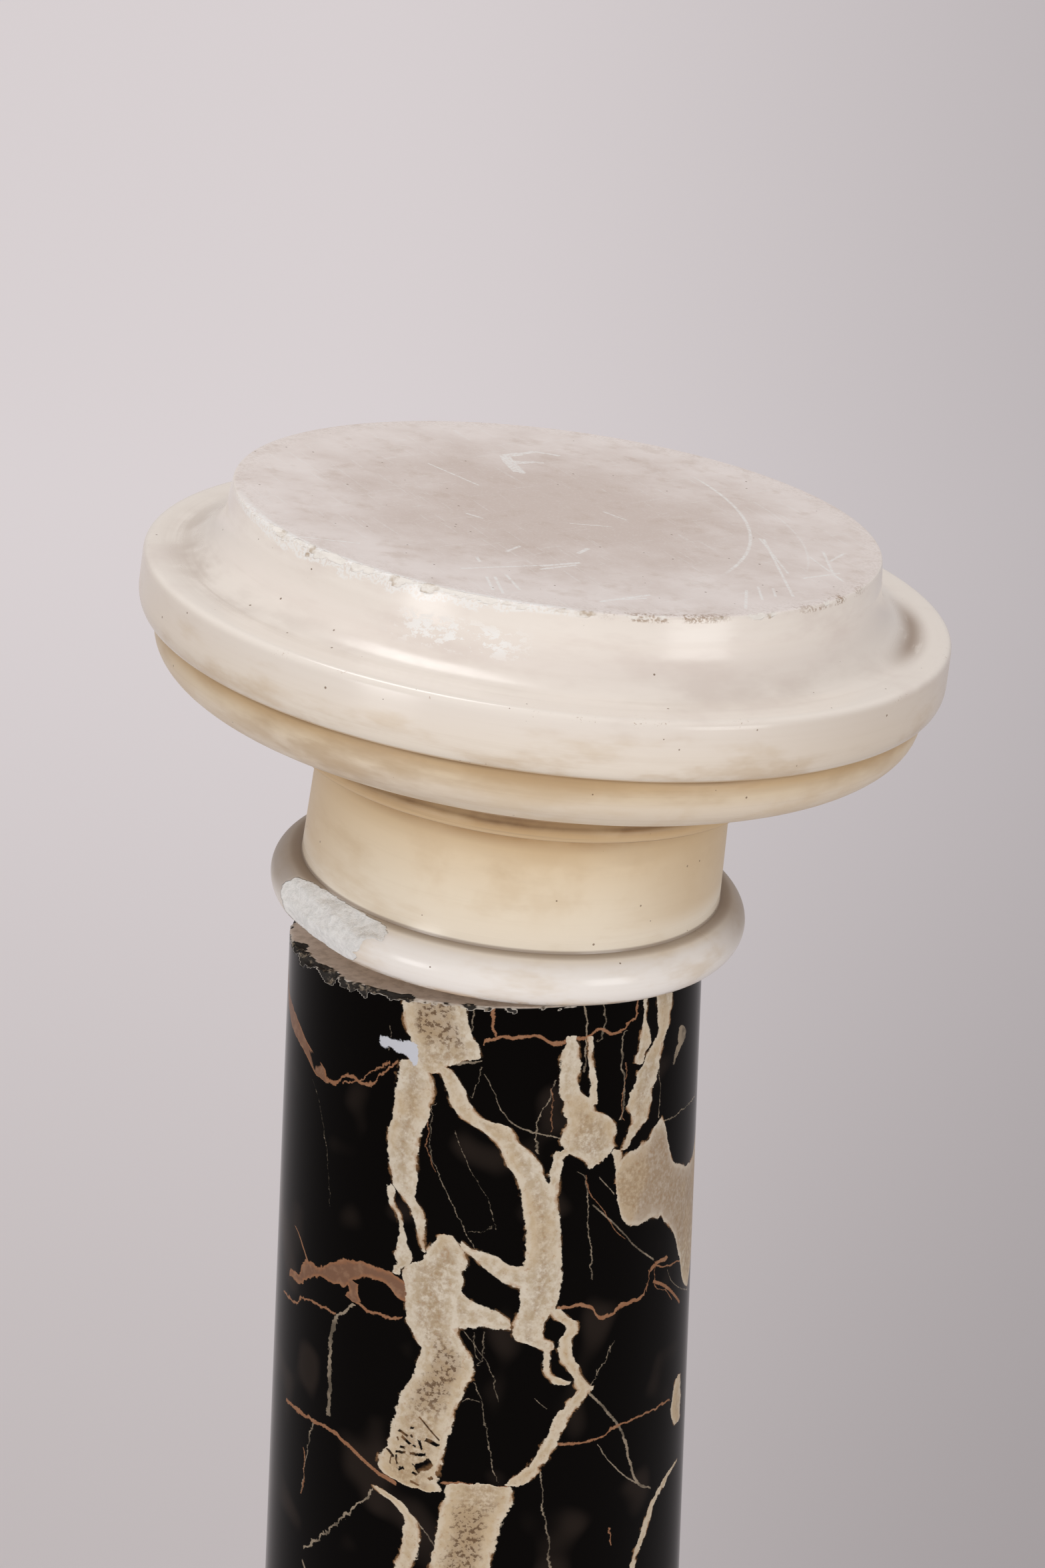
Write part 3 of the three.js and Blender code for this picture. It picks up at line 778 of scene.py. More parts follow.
# Two long curved scratches: centre, reach, half width, both ends from front to back, and how white.
SCRATCH_ARCS = (
    (-78.6, 1.5, 158.9, 0.55, -58.0, 78.0, 0.9),
    (-45.0, -20.0, 148.2, 0.35, -40.0, 52.0, 0.45),
)

# Fine hair scratches: their direction in radians, and how white.
HAIRS = ((0.5, 0.3), (-0.8, 0.25))

# Stains on the capital's ledge: limits round it, limits out from the axis, share and limits of the cloud.
LEDGE_STAINS = (
    ((70.0, 98.0, 9.0), (148.5, 157.0, 4.5), 0.8, (0.3, 0.44)),
    ((-108.0, -42.0, 16.0), (143.0, 159.0, 8.0), 0.38, (0.34, 0.54)),
    ((-40.0, 66.0, 18.0), (143.0, 158.0, 6.0), 0.13, (0.4, 0.6)),
)

# Tones up the capital: height in its own frame, then red, green and blue as displayed.
# The darker seat at 8 is partly dirt and partly painted shade. The neck darkens from 68 to 85 with a yellow-brown stain
# and painted shade under the capital. The dark line at 85 is dirt and painted shade under the fillet. The darker quirk
# from 94 to 101 is partly brown and partly painted shade under the echinus. The pale line at 85.9 is a painted
# highlight on the fillet's lower edge.
CAPITAL_ZONES = (
    (8, 214, 200, 182), (14, 249, 243, 235), (29.5, 250, 245, 238), (33.5, 244, 233, 213), (50, 243, 229, 204),
    (68, 236, 216, 183), (75, 222, 197, 158), (80, 184, 150, 107), (85, 122, 90, 58), (85.9, 218, 190, 150),
    (88.2, 200, 168, 124), (90, 178, 144, 102), (90.8, 126, 96, 68), (91.7, 172, 142, 108), (94, 158, 132, 106),
    (101, 160, 138, 116), (104.5, 210, 194, 174), (112, 236, 222, 202), (124, 233, 218, 196), (129, 227, 208, 178),
    (133, 212, 183, 141), (137, 192, 160, 116), (138.6, 238, 227, 210), (148, 242, 231, 216), (162, 243, 234, 223),
    (172, 240, 230, 220), (184, 247, 239, 229), (196, 244, 235, 224),
)

# Tones up the base, in the same way.
BASE_ZONES = (
    (0, 200, 184, 160), (6, 232, 221, 204), (45, 240, 231, 217), (50, 192, 168, 134), (56, 232, 219, 198),
    (80, 243, 235, 223), (98, 228, 213, 189), (104, 206, 183, 148), (109, 198, 175, 142), (120, 234, 221, 199),
    (136, 232, 218, 195), (150, 238, 228, 211),
)


@dataclass(frozen=True)
class Ground:
    """What the capital's coats are drawn from: places in its own frame and shared noises."""

    g: Graph
    place: Socket
    x: Socket
    y: Socket
    height: Socket
    radius: Socket
    bearing: Socket
    cloud: Socket
    grain: Socket
    turning: Socket
    blotch: Socket
    mottle: Socket
    tea: Socket


@dataclass(frozen=True)
class WhiteMarble:
    """White statuary marble with a warm, dirty old polish."""

    body: bpy.types.NodeTree
    dirt: Colour = tone(112, 82, 52)
    dust: Colour = tone(150, 131, 113)
    fresh: Colour = tone(251, 250, 246)
    crystal: Colour = tone(238, 238, 234)
    tea: Colour = tone(216, 193, 158)
    tea_pale: Colour = tone(224, 210, 200)
    warm: Colour = tone(214, 186, 144)
    turned: Colour = tone(186, 160, 126)
    seep: Colour = tone(180, 145, 100)
    # Painted shade: a darker tone for the flanks of the neck and the fillet.
    flank_shade: Colour = tone(214, 187, 146)
    shaded: Colour = tone(198, 180, 158)
    # Painted shade: a darker tone for the flanks of the fascia.
    scorch: Colour = tone(182, 154, 118)
    crumb: Colour = tone(150, 106, 66)
    foot: Colour = tone(196, 156, 106)
    top: Colour = tone(238, 228, 222)
    top_worn: Colour = tone(207, 190, 179)
    top_blotch: Colour = tone(190, 168, 150)
    top_grain: Colour = tone(234, 227, 221)
    top_dirt: Colour = tone(170, 148, 128)
    scuff: Colour = tone(244, 243, 239)
    rim_brown: Colour = tone(154, 122, 90)
    ledge_brown: Colour = tone(136, 109, 86)
    chip: Colour = tone(244, 238, 229)
    chip_dirt: Colour = tone(186, 164, 138)
    base_streak: Colour = tone(190, 170, 136)
    base_cloud: Colour = tone(204, 193, 174)
    base_chip: Colour = tone(232, 228, 220)

    def start(self, name: str, place: Matrix) -> tuple[Material, Graph, Node, Socket, Node]:
        """Starts a material that knows places in a piece's own frame.

        Args:
            name: The material's name.
            place: The piece's frame in the row's frame.

        Returns:
            The material, its graph, its shader, the place socket and the stone body node.
        """
        material, g, shader = new_material(name)
        feeds = {"Vector": g.own(), "Location": place.to_translation(), "Rotation": place.to_euler("XYZ"),
                 "Scale": (MM, MM, MM)}
        local = g.add("ShaderNodeMapping", feeds, vector_type="TEXTURE").outputs[0]
        body = g.add("ShaderNodeGroup", {}, node_tree=self.body)
        g.feed(body.inputs["Place"], local)
        return material, g, shader, local, body

    def capital(self, place: Matrix) -> Material:
        """The capital's finish, with its stains, scratches and broken ring.

        Args:
            place: The capital's frame in the row's frame.

        Returns:
            The material.
        """
        material, g, shader, local, body = self.start("white_marble_capital", place)
        x, y, height = g.axes(local)
        stone = [body.outputs[name] for name in ("Cloud", "Grain", "Turning")]
        blotch, mottle = g.cloud(local, 0.09, 4.0, 0.6), g.cloud(local, 0.035, 4.0, 0.6)
        tea = g.cloud(g.stretched(local, (46.0, 46.0, 15.0)), 1.0, 4.0, 0.6)
        s = Ground(g, local, x, y, height, g.span(x, y), g.bearing(x, y), *stone, blotch, mottle, tea)
        colour, grimy = self.grime_and_shade(s, self.mouldings(s))
        colour, flat_top = self.crown(s, colour)
        colour, stained = self.ledge(s, colour)
        colour = g.coat(colour, self.dirt, body.outputs["Speck"], 0.8)

        chip, broken = g.rise(g.worn("chip"), 0.05, 0.4), g.rise(g.worn("broken"), 0.25, 0.6)
        colour = g.coat(colour, g.coat(self.chip, self.chip_dirt, g.rise(blotch, 0.5, 0.64), 0.8), chip)
        crystals = g.cloud(local, 0.4, 4.0, 0.7)
        colour = g.coat(colour, g.coat(self.fresh, self.crystal, g.rise(crystals, 0.4, 0.65)), broken)
        handled = g.times(g.rise(height, 34.0, 40.0), g.rise(height, 140.0, 132.0))
        rough = g.slide(handled, g.slide(flat_top, 0.2, 0.55), 0.42)
        rough = g.slide(g.most(grimy, stained, chip), rough, 0.6)
        rough = g.slide(broken, rough, 0.85)
        relief = g.times(g.most(broken, g.times(chip, 0.4)), crystals, 1.1)
        g.dress(shader, colour, rough, relief, 0.9)
        return material

    def mouldings(self, s: Ground) -> Socket:
        """The stone's tones, which follow the mouldings, with painted shade and a painted highlight round the neck and
        fillet, warm clouds and turning lines.

        Args:
            s: What the coats are drawn from.

        Returns:
            The colour.
        """
        g, height = s.g, s.height
        zone = g.math("ADD", height, g.math("MULTIPLY_ADD", s.cloud, 1.6, -0.8))
        tint = g.coat(self.tea, self.tea_pale, g.rise(height, 150.0, 162.0))
        colour = g.coat(g.ramp(zone, CAPITAL_ZONES), tint, g.rise(s.tea, 0.48, 0.72), 0.45)
        warm = g.times(g.rise(s.mottle, 0.44, 0.66), g.rise(height, 36.0, 60.0), g.rise(height, 134.0, 120.0))
        colour = g.coat(colour, self.warm, warm, 0.34)
        band = g.times(g.rise(s.turning, 0.48, 0.7), g.slide(g.rise(height, 78.0, 88.0), 0.3, 1.0))
        dense = g.slide(g.rise(height, 160.0, 130.0), 0.02, 0.13)
        dense = g.slide(g.between(height, 85.0, 106.0, 1.5), dense, 0.6)
        return g.coat(colour, self.turned, band, dense)

    def grime_and_shade(self, s: Ground, colour: Feed) -> tuple[Socket, Socket]:
        """Dirt in the grooves, brown seams, painted shade on the flanks, and dust on the ring.

        Args:
            s: What the coats are drawn from.
            colour: The colour so far.

        Returns:
            The new colour, and a mask of the rough dirt.
        """
        g, height, bearing, side = s.g, s.height, s.bearing, s.g.math("ABSOLUTE", s.bearing)
        crease = g.math("MULTIPLY_ADD", s.cloud, 2.4, g.apart(height, 136.0))
        groove = g.times(g.rise(crease, 3.4, 1.0), g.rise(height, 138.2, 136.8))
        colour = g.coat(colour, self.dirt, groove, 0.85)
        seep = g.times(g.rise(height, 122.0, 134.0), g.rise(height, 137.6, 136.6), g.rise(s.tea, 0.36, 0.66))
        edging = g.times(g.rise(height, 153.0, 138.4), g.rise(height, 137.4, 138.0), g.rise(s.tea, 0.42, 0.66), 0.6)
        colour = g.coat(colour, self.seep, g.most(seep, edging), 0.48)
        # Painted shade: the neck and the fillet darken towards their flanks, more on the right.
        flanks = g.most(g.rise(side, 34.0, 72.0), g.rise(bearing, 20.0, 58.0))
        colour = g.coat(colour, self.flank_shade, flanks, g.rise(height, 36.0, 46.0), g.rise(height, 104.0, 86.0), 0.6)
        # Painted shade: the fascia darkens towards its flanks, more on the right.
        shaded = g.most(g.rise(side, 30.0, 76.0), g.rise(bearing, 8.0, 52.0))
        colour = g.coat(colour, self.shaded, shaded, g.between(height, 139.0, 161.0, 1.5), 0.34)
        scorch = g.times(g.between(bearing, -46.0, -14.0, 12.0), g.between(height, 107.0, 131.0, 6.0))
        colour = g.coat(colour, self.scorch, scorch, g.rise(s.tea, 0.38, 0.6), 0.5)
        upper = g.times(g.between(height, 160.4, 162.6, 0.8), g.rise(s.radius, 160.0, 166.0))
        edges = g.most(g.between(height, 137.0, 139.0, 0.8), upper)
        colour = g.coat(colour, self.crumb, edges, g.rise(s.grain, 0.58, 0.68), g.rise(s.blotch, 0.57, 0.66), 0.6)
        colour = g.coat(colour, self.foot, g.rise(height, 15.5, 12.0), g.rise(s.blotch, 0.44, 0.6), 0.6)
        colour = g.coat(colour, self.dust, g.rise(g.apart(height, 32.2), 1.3, 0.2), 0.75)
        turn = g.apart(bearing, 4.0)
        flank = g.times(g.rise(turn, 46.0, 80.0), g.slide(g.rise(turn, 104.0, 140.0), 1.0, 0.4))
        dusty = g.times(flank, g.rise(height, 15.0, 27.0), g.rise(height, 34.0, 31.5), g.rise(s.radius, 89.0, 92.0))
        return g.coat(colour, self.dust, dusty, 0.68), g.most(groove, dusty)

    def crown(self, s: Ground, colour: Feed) -> tuple[Socket, Socket]:
        """The dull flat top and its rim, part bare and part browned.

        Args:
            s: What the coats are drawn from.
            colour: The colour so far.

        Returns:
            The new colour, and a mask of the flat top.
        """
        g, bearing, radius = s.g, s.bearing, s.radius
        flat_top = g.times(g.rise(s.height, 192.1, 192.5), g.rise(radius, 136.0, 134.4))
        inner = g.math("MULTIPLY_ADD", s.mottle, 150.0, radius)
        dull = g.coat(self.top, self.top_worn, g.rise(inner, 226.0, 112.0), 0.85)
        dull = g.coat(dull, self.top_blotch, g.rise(s.blotch, 0.52, 0.72), 0.3)
        dull = g.coat(dull, self.top_grain, g.rise(s.grain, 0.5, 0.75), 0.35)
        dull = g.coat(dull, self.top_dirt, g.rise(radius, 120.0, 134.0), g.rise(s.grain, 0.45, 0.62), 0.2)
        dull = g.coat(dull, self.scuff, self.scratches(s), 0.8)
        colour = g.coat(colour, dull, flat_top)
        crumbled = g.times(g.between(bearing, -64.0, -8.0, 8.0), g.math("MULTIPLY_ADD", s.blotch, 11.0, -2.8))
        rim = g.times(g.rise(g.math("ADD", s.height, crumbled), 189.8, 191.0), g.rise(radius, 131.4, 133.6))
        bare = g.times(rim, g.between(bearing, -74.0, 4.0, 8.0), g.rise(s.grain, 0.4, 0.52))
        colour = g.coat(colour, self.fresh, bare, 0.75)
        sides = g.most(g.between(bearing, 10.0, 28.0, 5.0), g.between(bearing, 46.0, 64.0, 6.0))
        browned = g.times(rim, sides, g.rise(s.grain, 0.42, 0.56), g.rise(s.blotch, 0.42, 0.52))
        return g.coat(colour, self.rim_brown, browned, 0.75), flat_top

    def ledge(self, s: Ground, colour: Feed) -> tuple[Socket, Socket]:
        """Brown stains on the ledge and a white smear on the cavetto above it.

        Args:
            s: What the coats are drawn from.
            colour: The colour so far.

        Returns:
            The new colour, and a mask of the stains and the smear.
        """
        g = s.g
        shelf = g.times(g.rise(s.height, 160.0, 162.4), g.rise(s.height, 182.0, 164.0))
        soft = g.math("MULTIPLY_ADD", s.turning, 0.4, g.math("MULTIPLY", s.tea, 0.6))
        stains = [g.times(g.between(s.bearing, *around), g.between(s.radius, *out), share, g.rise(soft, *limits))
                  for around, out, share, limits in LEDGE_STAINS]
        stain = g.times(g.most(*stains), shelf)
        colour = g.coat(colour, self.ledge_brown, stain, 0.95)
        zone = g.times(g.between(s.bearing, -25.0, -5.0, 4.0), g.between(s.height, 172.0, 182.0, 3.0))
        flecks = g.cloud(g.stretched(s.place, (7.0, 7.0, 4.0)), 1.0, 5.0, 0.75)
        smear = g.times(zone, g.rise(flecks, 0.5, 0.56))
        return g.coat(colour, self.fresh, smear, 0.85), g.most(stain, smear)

    def scratches(self, s: Ground) -> Feed:
        """White scratches on the flat top: two long arcs, straight strokes and fine hairs.

        Args:
            s: What the coats are drawn from.

        Returns:
            A mask of the scratches.
        """
        g = s.g
        found: Feed = 0.0
        for centre_x, centre_y, reach, half, low, high, share in SCRATCH_ARCS:
            away = g.span(g.math("SUBTRACT", s.x, centre_x), g.math("SUBTRACT", s.y, centre_y))
            line = g.rise(g.apart(away, reach), half + 0.5, half - 0.2)
            found = g.most(found, g.times(line, g.between(s.y, low, high, 8.0), share))
        found = g.most(found, g.times(g.rise(g.strokes(s.x, s.y, STROKES), 0.4, -0.2), 0.9))
        for angle, share in HAIRS:
            hairs = g.cloud(g.stretched(s.place, (1.4, 30.0, 30.0), angle), 1.0, 1.0)
            found = g.most(found, g.times(g.rise(hairs, 0.66, 0.72), share))
        return g.times(found, g.slide(g.rise(s.grain, 0.4, 0.55), 0.35, 1.0))

    def plain(self, name: str, place: Matrix) -> Material:
        """The base's finish: the same stone, darker in its hollows and at its foot.

        Args:
            name: The material's name.
            place: The piece's frame in the row's frame.

        Returns:
            The material.
        """
        material, g, shader, local, body = self.start(name, place)
        cloud, grain, turning, speck = body.outputs
        zone = g.math("ADD", g.axes(local)[2], g.math("MULTIPLY_ADD", cloud, 4.0, -2.0))
        colour = g.coat(g.ramp(zone, BASE_ZONES), self.base_streak, g.rise(turning, 0.52, 0.74), 0.3)
        colour = g.coat(colour, self.base_cloud, g.rise(cloud, 0.52, 0.75), 0.3)
        colour = g.coat(colour, self.dirt, speck, 0.8)
        chip = g.worn("chip")
        colour = g.coat(colour, self.base_chip, chip)
        rough = g.slide(g.rise(cloud, 0.4, 0.7), 0.26, 0.45)
        g.dress(shader, colour, g.slide(chip, rough, 0.7), g.times(grain, 0.04), 0.8)
        return material


@dataclass
class Profile:
    """A turned outline in millimetres, from the axis below to the axis above."""

    points: list[Point] = field(default_factory=list)

    def to(self, radius: float, height: float, pitch: float = math.inf) -> "Profile":
        """Adds a straight run.

        Args:
            radius: The radius where it ends.
            height: The height where it ends.
            pitch: The longest step that it is cut into.

        Returns:
            The same profile.
        """
        if self.points:
            last = self.points[-1]
            steps = max(1, math.ceil(math.hypot(radius - last[0], height - last[1]) / pitch))
            for i in range(1, steps):
                share = i / steps
                self.points.append((last[0] + (radius - last[0]) * share, last[1] + (height - last[1]) * share))
        self.points.append((radius, height))
        return self

    def arc(self, centre: Point, radius: float, start: float, end: float, steps: int) -> "Profile":
        """Adds a circular arc.

        Args:
            centre: The arc's centre.
            radius: The arc's radius.
            start: Where it starts, in degrees from the outward direction.
            end: Where it ends, in the same way.
            steps: Steps along it.

        Returns:
            The same profile.
        """
        for i in range(steps + 1):
            angle = math.radians(start + (end - start) * i / steps)
            self.points.append((centre[0] + radius * math.cos(angle), centre[1] + radius * math.sin(angle)))
        return self

    def swell(self, belly: Point, end: Point, steps: int) -> "Profile":
        """Adds a curve from the last point.

        Args:
            belly: The point that it leaves towards and arrives from.
            end: Where it ends.
            steps: Steps along it.

        Returns:
            The same profile.
        """
        start = self.points[-1]
        for i in range(1, steps + 1):
            t = i / steps
            weights = ((1 - t) ** 2, 2 * t * (1 - t), t * t)
            self.points.append(tuple(
                weights[0] * a + weights[1] * b + weights[2] * c for a, b, c in zip(start, belly, end)))
        return self


def new_piece(name: str, shape: bmesh.types.BMesh) -> Piece:
    """Makes an object of a shape, frees the shape and links the object to the scene.

    Args:
        name: The object's name.
        shape: Its points and faces.

    Returns:
        The object.
    """
    mesh = bpy.data.meshes.new(name)
    shape.to_mesh(mesh)
    shape.free()
    piece = bpy.data.objects.new(name, mesh)
    bpy.context.scene.collection.objects.link(piece)
    return piece


def turned_mesh(name: str, profile: Profile, sides: int) -> Piece:
    """Spins a profile about the upright axis into a closed mesh, in millimetres.

    One wedge is spun from the profile, and copies of it close the round.

    Args:
        name: The object's name.
        profile: The outline to spin.
        sides: Steps around.

    Returns:
        The new object, linked to the scene.
    """
    shape = bmesh.new()
    chain = [shape.verts.new((radius, 0.0, height)) for radius, height in profile.points]
    links = [shape.edges.new(pair) for pair in zip(chain, chain[1:])]
    upright = {"cent": (0, 0, 0), "axis": (0, 0, 1)}
    bmesh.ops.spin(shape, geom=chain + links, angle=math.tau / WEDGES, steps=sides // WEDGES, **upright)
    wedge = shape.verts[:] + shape.edges[:] + shape.faces[:]
    bmesh.ops.spin(shape, geom=wedge, angle=math.tau * (WEDGES - 1) / WEDGES, steps=WEDGES - 1, use_duplicate=True,
                   **upright)
    bmesh.ops.remove_doubles(shape, verts=shape.verts, dist=WELD)
    bmesh.ops.recalc_face_normals(shape, faces=shape.faces)
    return new_piece(name, shape)


@dataclass(frozen=True)
class Chips:
    """A chipped stretch of a sharp upper edge.

    The centre is a bearing, and the chips fade out at the reach, in degrees round from it.
    The depth is that of the largest chips, the scale tells how close together they are, per
    millimetre, and the least is what is worn off all round.
    """

    centre: float
    reach: float
    depth: float
    scale: float
    least: float = 0.0


@dataclass(frozen=True)
class Break:
    """One broken face of a ring: its bearing, how far it looks up in degrees, and its depth."""

    bearing: float
    slope: float
    depth: float


class Wear:
    """Moves points of a turned mesh, in its own frame, to break and chip its edges."""

    edge_reach: float = 14.0
    break_reach: float = 62.0
    sharp: float = 48.0

    def __init__(self, piece: Piece) -> None:
        """Reads the points of a piece.

        Args:
            piece: A turned piece in millimetres.
        """
        self.mesh = piece.data
        flat = np.zeros(len(self.mesh.vertices) * 3)
        self.mesh.vertices.foreach_get("co", flat)
        self.points = flat.reshape(-1, 3)
        self.masks: dict[str, np.ndarray] = {}

    def mark(self, name: str, moved: np.ndarray, values: np.ndarray) -> None:
        """Raises a named mask at the moved points, where it is lower."""
        mask = self.masks.setdefault(name, np.zeros(len(self.points)))
        mask[moved] = np.maximum(mask[moved], np.clip(values, 0.0, 1.0))

    def radius(self) -> np.ndarray:
        """Each point's distance from the axis."""
        return np.hypot(self.points[:, 0], self.points[:, 1])

    def bearing(self) -> np.ndarray:
        """Each point's angle from the front in degrees, positive to the right."""
        return np.degrees(np.arctan2(self.points[:, 0], -self.points[:, 1]))

    @staticmethod
    def rough(points: np.ndarray, scale: float) -> np.ndarray:
        """A fractal noise of about -1 to 1 at some points."""
        return np.array([noise.fractal(Vector(p) * scale, 0.9, 2.0, 4) for p in points])

    def chip_edge(self, radius: float, height: float, *stretches: Chips) -> None:
        """Chips the sharp upper edge of a round piece, one stretch after the other.

        Args:
            radius: The edge's radius.
            height: The edge's height.
            *stretches: Where the chips are and how deep.
        """
        for chips in stretches:
            away, bearing = self.radius(), self.bearing()
            aside, apart = np.abs(away - radius), np.abs(self.points[:, 2] - height)
            near = np.nonzero((aside < self.edge_reach) & (apart < self.edge_reach))[0]
            coarse = self.rough(self.points[near], chips.scale)
            fine = self.rough(self.points[near] + 70.0, chips.scale * 2.4)
            turn = np.abs((bearing[near] - chips.centre + 180) % 360 - 180)
            share = np.clip(1.25 - turn / chips.reach, 0.0, 1.0)
            bite = chips.least + chips.depth * share * np.clip(0.35 + coarse, 0.0, 1.2)
            bite = bite + 0.35 * chips.depth * share * np.clip(fine, 0.0, 1.0)
            over = away[near] + self.points[near, 2] - (radius + height - bite * 1.5)
            hit = over > 0
            moved = near[hit]
            inward = 1.0 - (over[hit] / 2) / away[moved]
            self.points[moved, :2] *= inward[:, None]
            self.points[moved, 2] -= over[hit] / 2
            self.mark("chip", moved, bite[hit] / 1.2 - 0.3)

    def break_ring(self, radius: float, height: float, tube: float, *faces: Break) -> None:
        """Takes broken faces off a round ring, one after the other.

        Args:
            radius: The ring's radius.
            height: The ring's height.
            tube: The ring's own thickness, as a radius.
            *faces: Where the faces are and how deep they bite below the round surface.
        """
        for face in faces:
            turn, rise = math.radians(face.bearing), math.radians(face.slope)
            outward = np.array([math.cos(rise) * math.sin(turn), -math.cos(rise) * math.cos(turn), math.sin(rise)])
            centre = np.array([radius * math.sin(turn), -radius * math.cos(turn), height])
            close = np.linalg.norm(self.points - centre, axis=1) < self.break_reach
            below = self.points[:, 2] < height + tube + 0.3
            near = np.nonzero(close & below & (self.radius() > radius - tube * 0.25))[0]
            limit = float(centre @ outward) + tube - face.depth
            wobble = self.rough(self.points[near], 0.075) * 1.1 + self.rough(self.points[near] + 40.0, 0.4) * 0.3
            over = self.points[near] @ outward - (limit + wobble)
            hit = over > 0
            moved = near[hit]
            self.points[moved] -= over[hit, None] * outward
            self.mark("broken", moved, over[hit] / 0.5)

    def finish(self, place: Matrix) -> None:
        """Writes the points and masks back, in metres and in the row's frame.

        Args:
            place: The piece's own frame in the row's frame.
        """
        self.mesh.vertices.foreach_set("co", self.points.ravel())
        for name, values in self.masks.items():
            attribute = self.mesh.attributes.new(name, "FLOAT", "POINT")
            attribute.data.foreach_set("value", values.astype(np.float32))
        self.mesh.transform(place @ Matrix.Diagonal((MM, MM, MM, 1.0)))
        self.mesh.polygons.foreach_set("use_smooth", np.ones(len(self.mesh.polygons), dtype=bool))
        self.mesh.set_sharp_from_angle(angle=math.radians(self.sharp))
        self.mesh.update()


def settle(piece: Piece, node: str, finish: Material) -> None:
    """Gives a piece its finish and its place on the frame.

    Args:
        piece: The finished object.
        node: The solid that it stands for.
        finish: Its material.
    """
    piece.data.materials.append(finish)
    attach(piece, "root")
    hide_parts(node)
    LOG.info("%s: %d points", piece.name, len(piece.data.vertices))


@dataclass
class Base:
    """The turned foot: plinth, torus, fillet, cavetto and a narrow ring."""

    plinth_radius: float = 190.0
    plinth_height: float = 50.0
    torus_radius: float = 162.0
    torus_tube: float = 25.0
    fillet_radius: float = 152.0
    fillet_height: float = 6.0
    cavetto: float = 32.0
    ring_radius: float = 116.0
    ring_height: float = 8.0
    ease: float = 2.5
    chips: Chips = Chips(120.0, 200.0, 1.4, 0.06)
    chips_in: float = 0.8
    sides: int = 360

    def build(self) -> Piece:
        """Turns the foot.

        Returns:
            The piece.
        """
        edge, brow, ease = self.plinth_radius, self.plinth_height, self.ease
        fillet_foot = brow + 2 * self.torus_tube
        fillet_top = fillet_foot + self.fillet_height
        ring_foot = fillet_top + self.cavetto
        top = ring_foot + self.ring_height
        outline = Profile([(0.0, 0.0)]).to(edge - ease, 0.0, 60.0)
        outline.arc((edge - ease, ease), ease, -90, 0, 5)
        outline.to(edge, brow - ease, 8.0)
        outline.arc((edge - ease, brow - ease), ease, 0, 90, 6)
        outline.to(self.torus_radius + 1.0, brow, 5.0)
        outline.arc((self.torus_radius, brow + self.torus_tube), self.torus_tube, -88, 88, 40)
        outline.to(self.fillet_radius, fillet_foot + 0.3, 4.0).to(self.fillet_radius, fillet_top - 0.5, 2.0)
        outline.to(self.fillet_radius - 0.5, fillet_top)
        outline.arc((self.ring_radius + 2 + self.cavetto, ring_foot), self.cavetto, 270, 180, 20)
        outline.to(self.ring_radius, ring_foot + 0.5).to(self.ring_radius, top - 0.8, 2.0)
        outline.to(self.ring_radius - 0.8, top).to(60.0, top, 12.0).to(0.0, top)
        piece = turned_mesh("marble_base", outline, self.sides)
        wear = Wear(piece)
        wear.chip_edge(edge - self.chips_in, brow - self.chips_in, self.chips)
        wear.finish(Matrix.Identity(4))
        return piece

    def dress(self, piece: Piece, marble: WhiteMarble) -> None:
        """Gives the foot its marble."""
        settle(piece, "base", marble.plain("white_marble_base", Matrix.Identity(4)))


@dataclass
class Shaft:
    """The tapered black drum with a chipped upper edge."""

    foot: float = 146.3
    top_radius: float = 90.0
    foot_radius: float = 103.9
    ease: float = 1.2
    fine_band: float = 14.0
    chips: tuple[Chips, ...] = (
        Chips(-54.0, 50.0, 3.4, 0.1, 0.3),
        Chips(8.0, 30.0, 1.4, 0.2),
        Chips(165.0, 60.0, 1.6, 0.12),
    )
    sides: int = 480

    def build(self) -> Piece:
        """Turns the drum, with fine steps near the edge that is chipped.

        Returns:
            The piece.
        """
        band, edge = self.fine_band, self.top_radius
        slant = (self.foot_radius - edge) / (SHAFT_TOP - self.foot)
        outline = Profile([(0.0, self.foot)]).to(self.foot_radius - self.ease, self.foot, 50.0)
        outline.arc((self.foot_radius - self.ease, self.foot + self.ease), self.ease, -90, 0, 4)
        outline.to(edge + band * slant, SHAFT_TOP - band, 24.0).to(edge, SHAFT_TOP - 0.2, 0.7)
        outline.to(edge - 0.2, SHAFT_TOP).to(74.0, SHAFT_TOP, 0.9).to(30.0, SHAFT_TOP, 22.0).to(0.0, SHAFT_TOP)
        piece = turned_mesh("marble_shaft", outline, self.sides)
        wear = Wear(piece)
        wear.chip_edge(edge, SHAFT_TOP, *self.chips)
        wear.finish(Matrix.Identity(4))
        return piece

    def dress(self, piece: Piece, marble: BlackMarble) -> None:
        """Gives the drum its veined marble."""
        settle(piece, "shaft", marble.material(BANDS + THREADS))


